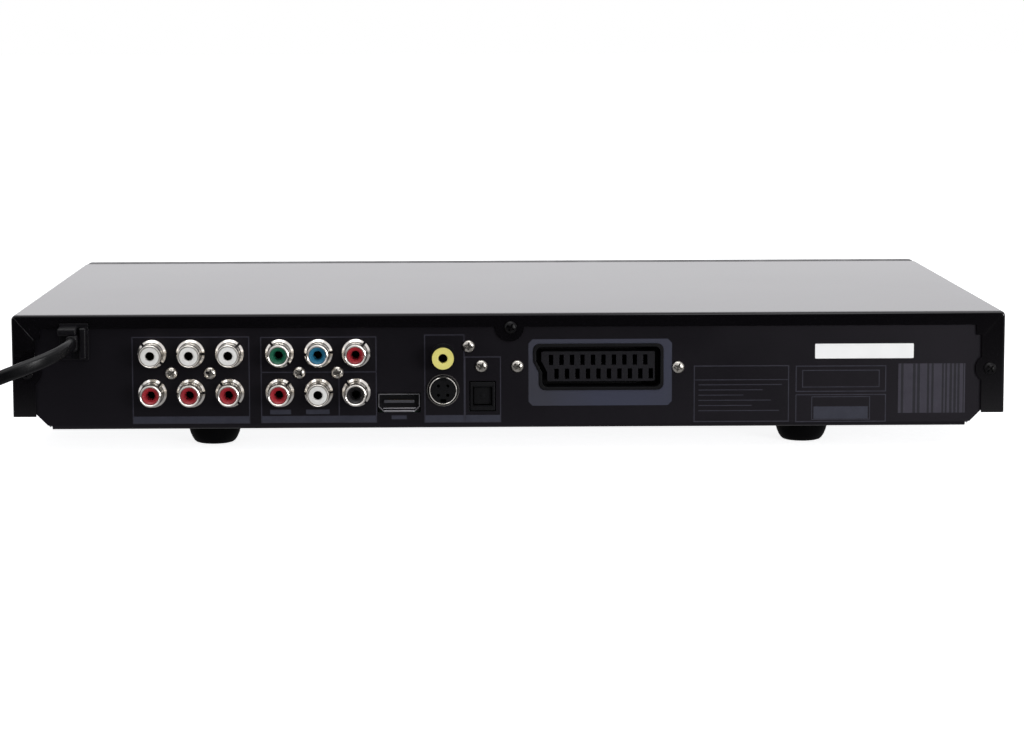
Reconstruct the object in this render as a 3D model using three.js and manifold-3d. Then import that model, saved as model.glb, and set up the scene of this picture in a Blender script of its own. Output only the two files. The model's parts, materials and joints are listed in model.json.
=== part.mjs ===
// DVD player with a motorised disc tray, built as the assembly that comes apart on a bench.
// Millimetres, +Z up. The front looks along -Y and the connector panel along +Y.
// Inside the player group, y = 0 is the rear face of the cover and z = 0 the chassis underside.

import * as THREE from 'three';
import { mergeVertices } from 'three/addons/utils/BufferGeometryUtils.js';
import Module from 'manifold-3d';

// Whole player
const bodyWidth = 360;
const bodyHeight = 42;
const bodyDepth = 220;
const fit = 0.3;
const overrun = 2;
const arcSteps = 3;
const bevelSteps = 2;
const weldTolerance = 1e-4;

// Sheet metal
const coverWall = 0.8;
const coverSideGap = 4.9;
const coverBend = 1.8;
const lipHeight = 5;
const cornerLipHeight = 8.7;
const cornerLipReach = 10.3;
const flangeWidth = 8.4;
const screwTabRadius = 5.2;
const sideScrewInset = 5.4;
const sideScrewHeight = 21;
const topScrewHeight = 36.8;
const panelWall = 0.8;
const chassisWall = 0.8;
const flankRise = 12.9;
const chassisWallHeight = 30;
const panelBend = 1.6;
const panelFlange = 8;
const chassisLap = 4;
const frontFlangeHeight = 9.5;
const frontFlangeInset = 20;
const ventSlotLength = 22;
const ventSlotWidth = 2.4;
const ventPitch = 7;
const ventCount = 8;
const ventX = 92;
const ventY = -92;

// Feet
const footHeight = 8.8;
const footRadius = 9.8;
const footStraight = 2.5;
const footFlatRadius = 6;
const footRecessRadius = 2.6;
const footRecessDepth = 5;
const footX = 109.5;
const footInset = 30;
const footSides = 18;

// Front bezel
const bezelDepth = 11;
const bezelWall = 2.5;
const bezelRim = 2;
const bezelCorner = 2.5;
const bezelEdge = 1.4;
const bezelBottom = 1;
const slotPlay = 0.5;

// Display window, to the right of the tray
const windowGap = 13.5;
const windowPowerGap = 16;
const windowBottom = 21;
const windowHeight = 12;
const windowCorner = 2;
const windowRecess = 0.4;
const windowLip = 1.5;
const windowLipThick = 1.6;

// Front buttons
const buttonProud = 0.8;
const buttonTravel = 0.8;
const buttonFlangeThick = 1;
const buttonFlangeLip = 1.2;
const buttonStem = 1.5;
const buttonStemHalf = 2;
const keyGap = 4;
const keyHeight = 6;
const keyCorner = 2.6;
const keyCount = 3;
const keyHeightAt = 12;
const powerRadius = 6;
const powerInset = 20;
const powerZ = 26;
const roundSides = 20;

// Boards
const boardThick = 1.6;
const boardTop = 5.8;
const frontBoardSetback = 8.6;
const frontBoardOverlap = 6;
const frontBoardInset = 9;
const frontBoardBottom = 5;
const frontBoardTop = 36;
const switchHalf = 3;
const displayInset = 3;
const mainBoardStrip = 34;
const mainBoardInset = 10.9;
const mainBoardCordGap = 40;
const mainBoardWing = -80;
const mainBoardDepth = 150;
const powerBoardLeft = 82;
const powerBoardInset = 13.9;
const powerBoardRear = -40;
const powerBoardDepth = 118;
const boardGap = 1.2;
const postRadius = 3;
const postSides = 6;
const postInset = 7;
const chipHalf = 14;
const chipThick = 2.4;
const smallCanRadius = 4;
const smallCanHeight = 12;
const coreHalf = 14;
const coreHeight = 22;
const windingInset = 4;
const bigCanRadius = 9;
const bigCanHeight = 26;
const heatSinkWall = 2;
const heatSinkHeight = 24;

// Rear connectors: insets from the cover's side where the mains lead leaves, heights from the underside
const barrelRadius = 4.15;
const barrelBore = 3.45;
const barrelLength = 9;
const barrelFlangeRadius = 5.3;
const barrelFlangeThick = 1;
const barrelSides = 12;
const insertRadius = 3.1;
const insertBore = 1.65;
const insertSetback = 2.4;
const insertBoreDepth = 9;
const insertSides = 12;
const insertRoot = 1;
const panelHoleRadius = 4.5;
const jackBodyDepth = 13;
const jackBodyEdge = 7;
const jackBodyTop = 34;
const surroundInsets = [50.5, 64.4, 78.5];
const avInsets = [96.6, 110.7, 124.3];
const upperJackZ = 27.6;
const lowerJackZ = 13.2;
const videoInset = 155.8;
const videoZ = 26.4;
const videoBodyHalf = 7.2;
const svideoZ = 13.9;
const svideoCoreRadius = 4.2;
const svideoShellBore = 4.6;
const svideoShellRadius = 5.8;
const svideoShellLength = 2;
const svideoPinRadius = 0.6;
const svideoPinSpread = 1.7;
const svideoPinDepth = 6;
const svideoPinSides = 6;
const svideoKeyHalf = 1.1;
const digitalInset = 139.8;
const digitalBottom = 6.1;
const digitalWidth = 15;
const digitalHeight = 6.6;
const digitalChamfer = 1.8;
const digitalWall = 0.5;
const digitalDepth = 12;
const digitalCavity = 9;
const digitalProud = 0.8;
const digitalTongueWidth = 11;
const digitalTongueThick = 1.4;
const digitalTongueDrop = 2.4;
const opticalInset = 170.1;
const opticalZ = 11.6;
const opticalWidth = 9;
const opticalHeight = 10.5;
const opticalDepth = 13;
const opticalProud = 0.6;
const opticalPort = 6.9;
const opticalCavity = 9;
const shutterThick = 0.7;
const shutterSetback = 1.9;
const scartInset = 188.4;
const scartWidth = 47.5;
const scartStep = 2.1;
const scartStepRise = 4.1;
const scartBottom = 13.6;
const scartTop = 30.7;
const scartMoat = 2.9;
const scartRim = 2.6;
const scartDepth = 26;
const scartMoatDepth = 9;
const scartContactPitch = 3.81;
const scartContacts = 10;
const scartSlotWidth = 1.7;
const scartSlotHeight = 3.8;
const scartSlotDepth = 4;
const scartRowZ = 2.55;
const scartRowShift = 1;
const scartFaceSetback = 0.8;

// Mains lead
const cordWide = 5;
const cordThick = 3.3;
const reliefInset = 22.6;
const reliefZ = 32.3;
const reliefWidth = 10.6;
const reliefHeight = 13.4;
const reliefReach = 8;
const reliefTaper = 0.8;
const reliefNeck = 0.8;
const reliefInner = 6;
const coilLoops = 7.25;
const coilMiddleRadius = 30;
const coilPitch = 4;
const coilLayer = 5.7;
const coilStepsPerLoop = 20;
const coilSides = 6;
const coilStandoff = 74;
const leadSides = 8;
const leadMeet = 6.7;
const leadOut = 23;
const leadSteps = 36;
const floorGap = 0.1;
const exitLevel = 18;
const exitSlope = 20;
const exitSteps = 8;
const plugLength = 36;
const plugWidth = 25.5;
const plugNeckWidth = 9;
const plugThick = 13.7;
const plugEdge = 2;
const plugPinRadius = 2;
const plugPinLength = 19;
const plugPinSpread = 19;
const plugPinSides = 10;

// Disc and tray
const discRadius = 60;
const discCentreSetback = 76;
const recessPlay = 1;
const smallRecessRadius = 41;
const recessDepth = 3.5;
const smallRecessDepth = 1;
const trayTop = 31;
const trayFloorBottom = 25.4;
const rimHalf = 65;
const rimBottom = 24;
const runnerHalf = 68;
const runnerThick = 2.4;
const runnerTailInset = 6;
const runnerTailWidth = 7;
const trayLength = 150;
const traySlotHalf = 18;
const trayHubRadius = 19;
const fingerWellRadius = 11;
const fingerWellSpread = 44;
const trayDoorThick = 3;
const trayDoorHalf = 68.5;
const trayDoorBottom = 20.5;
const trayDoorTop = 33.5;
const trayDoorCorner = 1.5;
const trayTravel = 140;

// Loading gears: rack under the tray, compound gear, pulley gear, belt and motor
const rackModule = 1;
const rackGearTeeth = 22;
const reducerModule = 0.8;
const reducerTeeth = 36;
const pinionTeeth = 16;
const addendumShare = 0.85;
const dedendumShare = 1.25;
const backlash = 0.3;
const pressureAngle = THREE.MathUtils.degToRad(20);
const rackPitchX = 50;
const rackBack = 3;
const rackSpareTeeth = 3;
const rackBottom = 21.2;
const gearSetback = 30;
const gearBore = 1.9;
const gearPin = 1.5;
const pinSides = 12;
const rackGearTop = 24.9;
const reducerBottom = 17;
const reducerThick = 3.4;
const pulleyBottom = 13.2;
const pulleyThick = 3.2;
const pulleyRadius = 12.6;
const beltTrack = 11.4;
const motorX = -28;
const motorPulleyRadius = 4.4;
const motorTrack = 3.2;
const motorRadius = 12;
const motorBottom = 1.7;
const motorTop = 10.9;
const motorBoss = 3.2;
const motorShaft = 1;
const motorShaftBore = 1.35;
const beltSize = 1.2;
const beltSteps = 10;

// Loader frame
const loaderSetback = 13;
const loaderRearRoom = 38;
const loaderHalf = 71.5;
const loaderWall = 2.5;
const loaderBottom = 4;
const loaderTop = 35.7;
const loaderFrontTop = 16.5;
const loaderFrontThick = 2;
const runnerLedgeThick = 2;
const runnerLipThick = 1.5;
const ledgeReach = 3;
const deckTop = 12.7;
const deckThick = 1.5;
const deckRear = 46.5;
const sliderRailTop = 10.2;
const sliderRailThick = 1.3;
const sliderRailFront = 47.5;
const sliderRailRear = 52;
const crossbarDepth = 6;
const crossbarTop = 16;
const pivotUprightTop = 21;
const loaderLug = 6.5;
const loaderLugThick = 2;
const loaderLugLength = 10;

// Clamp bridge and clamper
const bridgeHalfDepth = 14;
const bridgeWall = 1.2;
const bridgeFlange = 2;
const bridgeHole = 10;
const clamperRadius = 15;
const clamperBottom = 29.9;
const clamperRim = 1.5;
const clamperNeck = 9;
const clamperTopRadius = 12.5;
const clamperTopThick = 1.4;
const clamperPocketRadius = 8.5;
const clamperPocketDepth = 2.4;

// Traverse with spindle, pickup and sled drive
const traverseHalf = 42;
const traverseBottom = 19;
const traverseWall = 1.6;
const traverseFront = 21;
const traverseTail = 2;
const traverseWindowHalf = 23.5;
const traverseWindowFront = 14.5;
const traverseWindowInset = 11;
const traversePinHeight = 19.8;
const traversePinFront = 46.8;
const traverseHornHalf = 3;
const traverseHornTop = 21.6;
const pivotInset = 16;
const pivotHeight = 17;
const pivotPin = 1.5;
const pivotReach = 5;
const pivotCheek = 3;
const cheekDrop = 4;
const sliderTravel = 18;
const pinDrop = 5;
const sliderFront = 48;
const sliderThick = 3.5;
const sliderHalf = 24;
const sliderBottom = 10.5;
const sliderTop = 23;
const slotClearance = 0.4;
const spindleRadius = 13;
const spindleBottom = 10;
const spindleBoss = 5;
const spindleShaftTop = 27;
const turntableRadius = 15;
const turntableTop = 28.5;
const turntableRim = 2.1;
const turntableSleeve = 3.5;
const turntableBottom = 20.9;
const hubRadius = 7.4;
const hubTopRadius = 5.2;
const hubTop = 31.3;
const rodRadius = 1.5;
const rodX = 25;
const rodHeight = 15.8;
const rodFront = 9.5;
const rodInset = 7;
const lugThick = 4;
const lugHalf = 3;
const lugBottom = 13.2;
const pickupHalf = 22.2;
const pickupFront = 16;
const pickupLength = 26;
const pickupBottom = 12.9;
const pickupTop = 24.3;
const pickupShoulder = 3;
const sleeveHalf = 2.6;
const sleeveInset = 2;
const lensSetback = 8;
const lensMountRadius = 5.5;
const lensMountTop = 25;
const lensRadius = 3.2;
const lensTop = 25.7;
const pickupTravel = 34;
const screwX = -34;
const screwHeight = 12.5;
const screwRadius = 1.3;
const screwFront = 7.5;
const screwInset = 8;
const sledMotorRadius = 6;
const sledMotorLength = 19;
const screwArmWidth = 6;
const screwArmHalf = 2;

// Places worked out from the sizes above
const half = bodyWidth / 2;
const front = -bodyDepth;
const panelFace = -(coverWall + fit);
const panelBack = panelFace - panelWall;
const coverFront = front + bezelDepth + fit;
const innerHalf = half - coverWall - fit;
const chassisFloorHalf = innerHalf - flankRise;
const powerX = half - powerInset;
const windowLeft = trayDoorHalf + windowGap;
const windowWidth = powerX - powerRadius - windowPowerGap - windowLeft;
const keyPitch = (windowWidth + keyGap) / keyCount;
const keyWidth = keyPitch - keyGap;
const frontBoardLeft = windowLeft - frontBoardOverlap;
const frontBoardRight = half - frontBoardInset;
const mainBoardRight = mainBoardInset - innerHalf;
const mainBoardLeft = half - mainBoardCordGap;
const powerBoardRight = innerHalf - powerBoardInset;
const surroundX = surroundInsets.map((inset) => half - inset);
const avX = avInsets.map((inset) => half - inset);
const videoX = half - videoInset;
const digitalX = half - digitalInset;
const opticalX = half - opticalInset;
const scartLeft = half - scartInset;
const scartRight = scartLeft - scartWidth;
const reliefX = half - reliefInset;
const coverUnderside = bodyHeight - coverWall;
const spindleY = front + discCentreSetback;
const gearY = front + gearSetback;
const recessFloor = trayTop - recessDepth;
const runnerTop = rimBottom + runnerThick;
const bridgeBottom = loaderTop + fit;
const rackGearRadius = rackModule * rackGearTeeth / 2;
const reducerRadius = reducerModule * reducerTeeth / 2;
const pinionRadius = reducerModule * pinionTeeth / 2;
const gearX = rackPitchX - rackGearRadius;
const pulleyX = gearX - reducerRadius - pinionRadius;
const beltRadius = beltTrack + fit + beltSize / 2;
const beltMotorRadius = motorTrack + fit + beltSize / 2;
const boardBottom = boardTop - boardThick;
const postTop = boardBottom - fit;
const loaderLength = bodyDepth - loaderSetback - loaderRearRoom;
const loaderEnd = loaderSetback + loaderLength;
const runnerTail = loaderEnd - runnerTailInset;
const pivotY = front + loaderEnd - pivotInset;
const pivotArm = pivotY - spindleY;
const traverseRear = pivotArm + traverseTail;
const traverseWindowRear = pivotArm - traverseWindowInset;
const rodRear = pivotArm - rodInset;
const screwRear = pivotArm - screwInset;
const coilCentreX = half + coilStandoff;
const leadRun = coilCentreX - reliefX - leadMeet;
const doorHole = trayDoorHalf + slotPlay;

const wasm = await Module();
wasm.setup();

// Solids: closed meshes joined and cut by code
function closed(geometry) {
  const bare = geometry.clone();
  bare.deleteAttribute('normal');
  bare.deleteAttribute('uv');
  const merged = mergeVertices(bare, weldTolerance);
  const corners = merged.index.array;
  const kept = [];
  for (let i = 0; i < corners.length; i += 3) {
    const [a, b, c] = [corners[i], corners[i + 1], corners[i + 2]];
    if (a !== b && b !== c && c !== a) kept.push(a, b, c);
  }
  merged.setIndex(new THREE.BufferAttribute(Uint32Array.from(kept), 1));
  return merged;
}

function solidOf(geometry) {
  const shell = closed(geometry);
  return new wasm.Manifold(new wasm.Mesh({
    numProp: 3,
    vertProperties: shell.attributes.position.array,
    triVerts: shell.index.array,
  }));
}

function geometryOf(solid) {
  const mesh = solid.getMesh();
  const geometry = new THREE.BufferGeometry();
  geometry.setAttribute('position', new THREE.BufferAttribute(Float32Array.from(mesh.vertProperties), 3));
  geometry.setIndex(new THREE.BufferAttribute(Uint32Array.from(mesh.triVerts), 1));
  return geometry;
}

function carve(added, removed = []) {
  let solid = solidOf(added[0]);
  for (const geometry of added.slice(1)) solid = solid.add(solidOf(geometry));
  for (const geometry of removed) solid = solid.subtract(solidOf(geometry));
  return geometryOf(solid);
}

// Primitives placed by their faces
function block(x0, x1, y0, y1, z0, z1) {
  const geometry = new THREE.BoxGeometry(Math.abs(x1 - x0), Math.abs(y1 - y0), Math.abs(z1 - z0));
  return geometry.translate((x0 + x1) / 2, (y0 + y1) / 2, (z0 + z1) / 2);
}

function outline(points) {
  return new THREE.Shape(points.map(([x, y]) => new THREE.Vector2(x, y)));
}

function roundedRect(x0, x1, y0, y1, radius) {
  const shape = new THREE.Shape();
  shape.moveTo(x0 + radius, y0);
  shape.lineTo(x1 - radius, y0);
  shape.absarc(x1 - radius, y0 + radius, radius, -Math.PI / 2, 0);
  shape.absarc(x1 - radius, y1 - radius, radius, 0, Math.PI / 2);
  shape.absarc(x0 + radius, y1 - radius, radius, Math.PI / 2, Math.PI);
  shape.absarc(x0 + radius, y0 + radius, radius, Math.PI, Math.PI * 1.5);
  return shape;
}

// An outline drawn in X and Z, pulled from y0 to y1
function alongY(shape, y0, y1, bevel = 0) {
  const geometry = new THREE.ExtrudeGeometry(shape, {
    depth: y1 - y0 - 2 * bevel,
    curveSegments: arcSteps,
    bevelEnabled: bevel > 0,
    bevelSize: bevel,
    bevelThickness: bevel,
    bevelOffset: -bevel,
    bevelSegments: bevelSteps,
  });
  return geometry.rotateX(Math.PI / 2).translate(0, y1 - bevel, 0);
}

// An outline drawn in Y and Z, pulled from x0 to x1
function alongX(shape, x0, x1) {
  const settings = { depth: x1 - x0, curveSegments: arcSteps, bevelEnabled: false };
  const geometry = new THREE.ExtrudeGeometry(shape, settings);
  return geometry.rotateX(Math.PI / 2).rotateZ(Math.PI / 2).translate(x0, 0, 0);
}

// An outline drawn in X and Y, pulled from z0 to z1
function alongZ(shape, z0, z1) {
  const settings = { depth: z1 - z0, curveSegments: arcSteps, bevelEnabled: false };
  return new THREE.ExtrudeGeometry(shape, settings).translate(0, 0, z0);
}

function rodAlongZ(x, y, radius, z0, z1, sides = roundSides) {
  const geometry = new THREE.CylinderGeometry(radius, radius, z1 - z0, sides).rotateX(Math.PI / 2);
  return geometry.translate(x, y, (z0 + z1) / 2);
}

function rodAlongY(x, z, radius, y0, y1, sides = roundSides) {
  return new THREE.CylinderGeometry(radius, radius, y1 - y0, sides).translate(x, (y0 + y1) / 2, z);
}

function rodAlongX(y, z, radius, x0, x1, sides = roundSides) {
  const geometry = new THREE.CylinderGeometry(radius, radius, x1 - x0, sides).rotateZ(Math.PI / 2);
  return geometry.translate((x0 + x1) / 2, y, z);
}

// A profile of radius and height, turned about a vertical axis
function turned(profile, sides = roundSides) {
  const points = profile.map(([radius, height]) => new THREE.Vector2(radius, height));
  return new THREE.LatheGeometry(points, sides).rotateX(Math.PI / 2);
}

// A profile of radius and depth, turned about an axis that leaves the rear panel along +Y
function turnedRearward(profile, sides) {
  return turned(profile, sides).rotateX(-Math.PI / 2);
}

// Involute teeth
function involute(angle) {
  return Math.tan(angle) - angle;
}

function gearOutline(teeth, module, turn = 0) {
  const pitch = module * teeth / 2;
  const base = pitch * Math.cos(pressureAngle);
  const radii = [pitch - dedendumShare * module, pitch, pitch + addendumShare * module];
  const halfAngle = (radius) => {
    const flank = involute(Math.acos(base / Math.max(radius, base)));
    return Math.PI / (2 * teeth) - backlash / (2 * pitch) + involute(pressureAngle) - flank;
  };
  const points = [];
  for (let tooth = 0; tooth < teeth; tooth += 1) {
    const middle = turn + tooth * 2 * Math.PI / teeth;
    for (const radius of radii) points.push([radius, middle - halfAngle(radius)]);
    for (const radius of radii.toReversed()) points.push([radius, middle + halfAngle(radius)]);
  }
  return outline(points.map(([radius, angle]) => [radius * Math.cos(angle), radius * Math.sin(angle)]));
}

function gear(teeth, module, z0, z1, turn) {
  return alongZ(gearOutline(teeth, module, turn), z0, z1);
}

// Rack teeth on the side of the tray's rib, facing the gear, with a gap at the gear's line of centres
function rackOutline() {
  const pitch = Math.PI * rackModule;
  const tip = rackPitchX - addendumShare * rackModule;
  const root = rackPitchX + dedendumShare * rackModule;
  const middleHalf = pitch / 4 - backlash / 2;
  const slope = Math.tan(pressureAngle);
  const tipHalf = middleHalf - slope * (rackPitchX - tip);
  const rootHalf = middleHalf + slope * (root - rackPitchX);
  const teeth = Math.ceil(trayTravel / pitch) + rackSpareTeeth;
  const points = [];
  for (let tooth = 0; tooth < teeth; tooth += 1) {
    const y = gearY + (tooth - 0.5) * pitch;
    points.push([root, y - rootHalf], [tip, y - tipHalf], [tip, y + tipHalf], [root, y + rootHalf]);
  }
  const first = points[0][1];
  const last = points[points.length - 1][1];
  points.push([root + rackBack, last], [root + rackBack, first]);
  return outline(points.toReversed());
}

// Finishes of the real pieces
function finish(color, roughness, metalness) {
  return new THREE.MeshStandardMaterial({ color, roughness, metalness });
}
const blackPaint = finish(0x2b2a2e, 0.4, 0.2);
const zincSteel = finish(0x9a9c9e, 0.45, 0.8);
const blackAbs = finish(0x1a1a1c, 0.35, 0);
const blackMoulding = finish(0x161618, 0.5, 0);
const smokedWindow = finish(0x0c0c10, 0.1, 0);
const rubberBlack = finish(0x1c1c1c, 0.8, 0);
const nickel = finish(0xc9c7c0, 0.25, 1);
const boardGreen = finish(0x2f5a3a, 0.6, 0);
const greyAbs = finish(0x55565a, 0.5, 0);
const acetalWhite = finish(0xe6e4dc, 0.45, 0);
const beltRubber = finish(0x151515, 0.7, 0);
const polishedSteel = finish(0xb8babd, 0.3, 0.9);
const turnedBrass = finish(0xb99a52, 0.35, 0.9);

const player = new THREE.Group();
const model = new THREE.Group();

function place(name, geometry, material, parent = player) {
  const mesh = new THREE.Mesh(closed(geometry), material);
  mesh.name = name;
  parent.add(mesh);
  return mesh;
}

// Top cover: one bent steel sheet over the top and both sides, with its rear edge folded in
function topCover() {
  const outer = alongY(
    roundedRect(-half, half, -bodyHeight, bodyHeight, coverBend),
    coverFront - bodyDepth, 0, coverBend / 2,
  );
  const inner = block(
    -half + coverWall, half - coverWall, coverFront - 2 * bodyDepth, -coverWall,
    -bodyHeight - overrun, coverUnderside,
  );
  const below = block(
    -half - overrun, half + overrun, coverFront - 2 * bodyDepth, overrun,
    -bodyHeight - overrun, coverSideGap,
  );
  const ahead = block(
    -half - overrun, half + overrun, coverFront - 2 * bodyDepth, coverFront,
    -overrun, bodyHeight + overrun,
  );
  const flangeEdge = half - flangeWidth;
  const cornerEdge = half - cornerLipReach;
  const mouth = outline([
    [-flangeEdge, -bodyHeight], [flangeEdge, -bodyHeight],
    [flangeEdge, bodyHeight - cornerLipHeight], [cornerEdge, bodyHeight - cornerLipHeight],
    [cornerEdge, bodyHeight - lipHeight], [-cornerEdge, bodyHeight - lipHeight],
    [-cornerEdge, bodyHeight - cornerLipHeight], [-flangeEdge, bodyHeight - cornerLipHeight],
  ]);
  const tabs = [[-half + sideScrewInset, sideScrewHeight], [half - sideScrewInset, sideScrewHeight],
    [0, topScrewHeight]];
  const notch = block(
    reliefX - reliefWidth / 2 - fit, reliefX + reliefWidth / 2 + fit, -coverWall - overrun, overrun,
    bodyHeight - 2 * lipHeight, reliefZ + reliefHeight / 2 + fit,
  );
  const mouthCut = alongY(mouth, -coverWall - overrun, overrun);
  const shell = solidOf(carve([outer], [inner, below, ahead, mouthCut, notch]));
  const inside = solidOf(block(-half + coverWall, half - coverWall, -overrun, overrun, 0, coverUnderside));
  let cover = shell;
  for (const [x, z] of tabs) {
    const tab = solidOf(rodAlongY(x, z, screwTabRadius, -coverWall, 0));
    cover = cover.add(tab.intersect(inside));
  }
  return geometryOf(cover);
}
place('top_cover', topCover(), blackPaint);

// Chassis base: zinc-plated pan with 45 degree flanks, a front flange, a lap over the panel's foot,
// pressed posts and a field of vent slots under the power supply
function chassisBase() {
  const panY0 = coverFront + fit;
  const panY1 = panelBack - fit;
  const outer = outline([
    [-innerHalf, chassisWallHeight], [-innerHalf, flankRise], [-chassisFloorHalf, 0],
    [chassisFloorHalf, 0], [innerHalf, flankRise], [innerHalf, chassisWallHeight],
  ]);
  const wallInside = innerHalf - chassisWall;
  const rise = flankRise + chassisWall * (Math.SQRT2 - 1);
  const floorInside = wallInside - (rise - chassisWall);
  const inner = outline([
    [-wallInside, chassisWallHeight + overrun], [-wallInside, rise], [-floorInside, chassisWall],
    [floorInside, chassisWall], [wallInside, rise], [wallInside, chassisWallHeight + overrun],
  ]);
  const lapTop = 2 * chassisWall + fit;
  const added = [
    block(-chassisFloorHalf + frontFlangeInset, chassisFloorHalf - frontFlangeInset,
      panY0, panY0 + chassisWall, 0, frontFlangeHeight),
    block(-chassisFloorHalf + chassisLap, chassisFloorHalf - chassisLap,
      panelBack - panelFlange - fit - chassisLap, panY1, panelWall + fit, lapTop),
    block(-chassisFloorHalf + chassisLap, chassisFloorHalf - chassisLap,
      panelBack - panelFlange - fit - chassisLap, panelBack - panelFlange - fit, 0, lapTop),
  ];
  const footGap = block(-chassisFloorHalf - chassisWall, chassisFloorHalf + chassisWall,
    panelBack - panelFlange - fit, panY1 + overrun, -overrun, panelWall + fit);
  const slots = [];
  for (let slot = 0; slot < ventCount; slot += 1) {
    const y = ventY + (slot - (ventCount - 1) / 2) * ventPitch;
    const hole = roundedRect(ventX, ventX + ventSlotLength, y - ventSlotWidth / 2, y + ventSlotWidth / 2,
      ventSlotWidth / 2);
    slots.push(alongZ(hole, -overrun, chassisWall + overrun));
  }
  const pan = carve([alongY(outer, panY0, panY1)],
    [alongY(inner, panY0 - overrun, panY1 + overrun), footGap]);
  const posts = [];
  const floorTop = chassisWall / 2;
  for (const [x, y] of boardPosts()) posts.push(rodAlongZ(x, y, postRadius, floorTop, postTop, postSides));
  for (const [x, y] of loaderPosts()) {
    posts.push(rodAlongZ(x, y, postRadius, floorTop, loaderBottom - fit, postSides));
  }
  return carve([pan, ...added, ...posts], slots);
}

function boardPosts() {
  return [
    [mainBoardLeft - postInset, -mainBoardStrip + postInset],
    [mainBoardRight + postInset, -mainBoardStrip + postInset],
    [mainBoardRight + postInset, -mainBoardDepth + postInset],
    [mainBoardWing - postInset, -mainBoardDepth + postInset],
    [powerBoardLeft + postInset, powerBoardRear - postInset],
    [powerBoardRight - postInset, powerBoardRear - postInset],
    [powerBoardLeft + postInset, powerBoardRear - powerBoardDepth + postInset],
    [powerBoardRight - postInset, powerBoardRear - powerBoardDepth + postInset],
  ];
}

function loaderPosts() {
  const x = loaderHalf + loaderLug / 2;
  const nearY = front + loaderSetback + loaderLugLength;
  const farY = front + loaderEnd - loaderLugLength;
  return [[-x, nearY], [x, nearY], [-x, farY], [x, farY]];
}
place('chassis_base', chassisBase(), zincSteel);

// Rear panel: black sheet with the connector holes and a foot bent in under the chassis lap
function rearPanel() {
  const bottomHalf = chassisFloorHalf + panelBend;
  const sheet = outline([
    [-bottomHalf, panelBend], [bottomHalf, panelBend], [innerHalf, flankRise],
    [innerHalf, coverUnderside - fit], [-innerHalf, coverUnderside - fit], [-innerHalf, flankRise],
  ]);
  const foot = new THREE.Shape();
  foot.moveTo(panelBack - panelFlange, 0);
  foot.lineTo(panelFace - panelBend, 0);
  foot.absarc(panelFace - panelBend, panelBend, panelBend, -Math.PI / 2, 0);
  foot.lineTo(panelFace, panelBend + overrun);
  foot.lineTo(panelBack, panelBend + overrun);
  foot.lineTo(panelBack, panelBend);
  foot.absarc(panelFace - panelBend, panelBend, panelBend - panelWall, 0, -Math.PI / 2, true);
  foot.lineTo(panelBack - panelFlange, panelWall);
  const y0 = panelBack - overrun;
  const y1 = panelFace + overrun;
  const holes = [];
  for (const [x, z] of barrelPlaces()) holes.push(rodAlongY(x, z, panelHoleRadius, y0, y1, barrelSides));
  holes.push(rodAlongY(videoX, svideoZ, svideoShellBore, y0, y1, roundSides));
  holes.push(block(digitalX - digitalWidth / 2 - fit, digitalX + digitalWidth / 2 + fit, y0, y1,
    digitalBottom - fit, digitalBottom + digitalHeight + fit));
  holes.push(block(opticalX - opticalWidth / 2 - fit, opticalX + opticalWidth / 2 + fit, y0, y1,
    opticalZ - opticalHeight / 2 - fit, opticalZ + opticalHeight / 2 + fit));
  holes.push(alongY(scartOutline(0), y0, y1));
  holes.push(block(reliefX - reliefWidth / 2 + reliefNeck - fit, reliefX + reliefWidth / 2 - reliefNeck + fit,
    y0, y1, reliefZ - reliefHeight / 2 + reliefNeck - fit, reliefZ + reliefHeight / 2 - reliefNeck + fit));
  const bentFoot = alongX(foot, -chassisFloorHalf, chassisFloorHalf);
  return carve([alongY(sheet, panelBack, panelFace), bentFoot], holes);
}

function barrelPlaces() {
  const places = [];
  for (const z of [upperJackZ, lowerJackZ]) {
    for (const x of [...surroundX, ...avX]) places.push([x, z]);
  }
  places.push([videoX, videoZ]);
  return places;
}

// The connector's mouth: a rectangle whose end nearer the middle of the panel steps in over a short slant
function scartOutline(inset) {
  const middle = (scartTop + scartBottom) / 2;
  return outline([
    [scartRight + inset, scartBottom + inset],
    [scartLeft - scartStep - inset, scartBottom + inset],
    [scartLeft - scartStep - inset, middle - scartStepRise / 2],
    [scartLeft - inset, middle + scartStepRise / 2],
    [scartLeft - inset, scartTop - inset],
    [scartRight + inset, scartTop - inset],
  ]);
}
place('rear_panel', rearPanel(), blackPaint);

// Feet: turned rubber pucks with a screw recess
function foot() {
  return turned([
    [footRecessRadius, -footHeight], [footFlatRadius, -footHeight],
    [footRadius - (footRadius - footFlatRadius) / 4, -footHeight + footHeight / 4],
    [footRadius, -footStraight - fit], [footRadius, -fit], [0, -fit],
    [0, -footHeight + footRecessDepth], [footRecessRadius, -footHeight + footRecessDepth],
    [footRecessRadius, -footHeight],
  ], footSides);
}
const footPlaces = {
  foot_front_left: [-footX, front + footInset],
  foot_front_right: [footX, front + footInset],
  foot_rear_left: [-footX, -footInset],
  foot_rear_right: [footX, -footInset],
};
for (const [name, [x, y]] of Object.entries(footPlaces)) {
  place(name, foot(), rubberBlack).position.set(x, y, 0);
}

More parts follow.
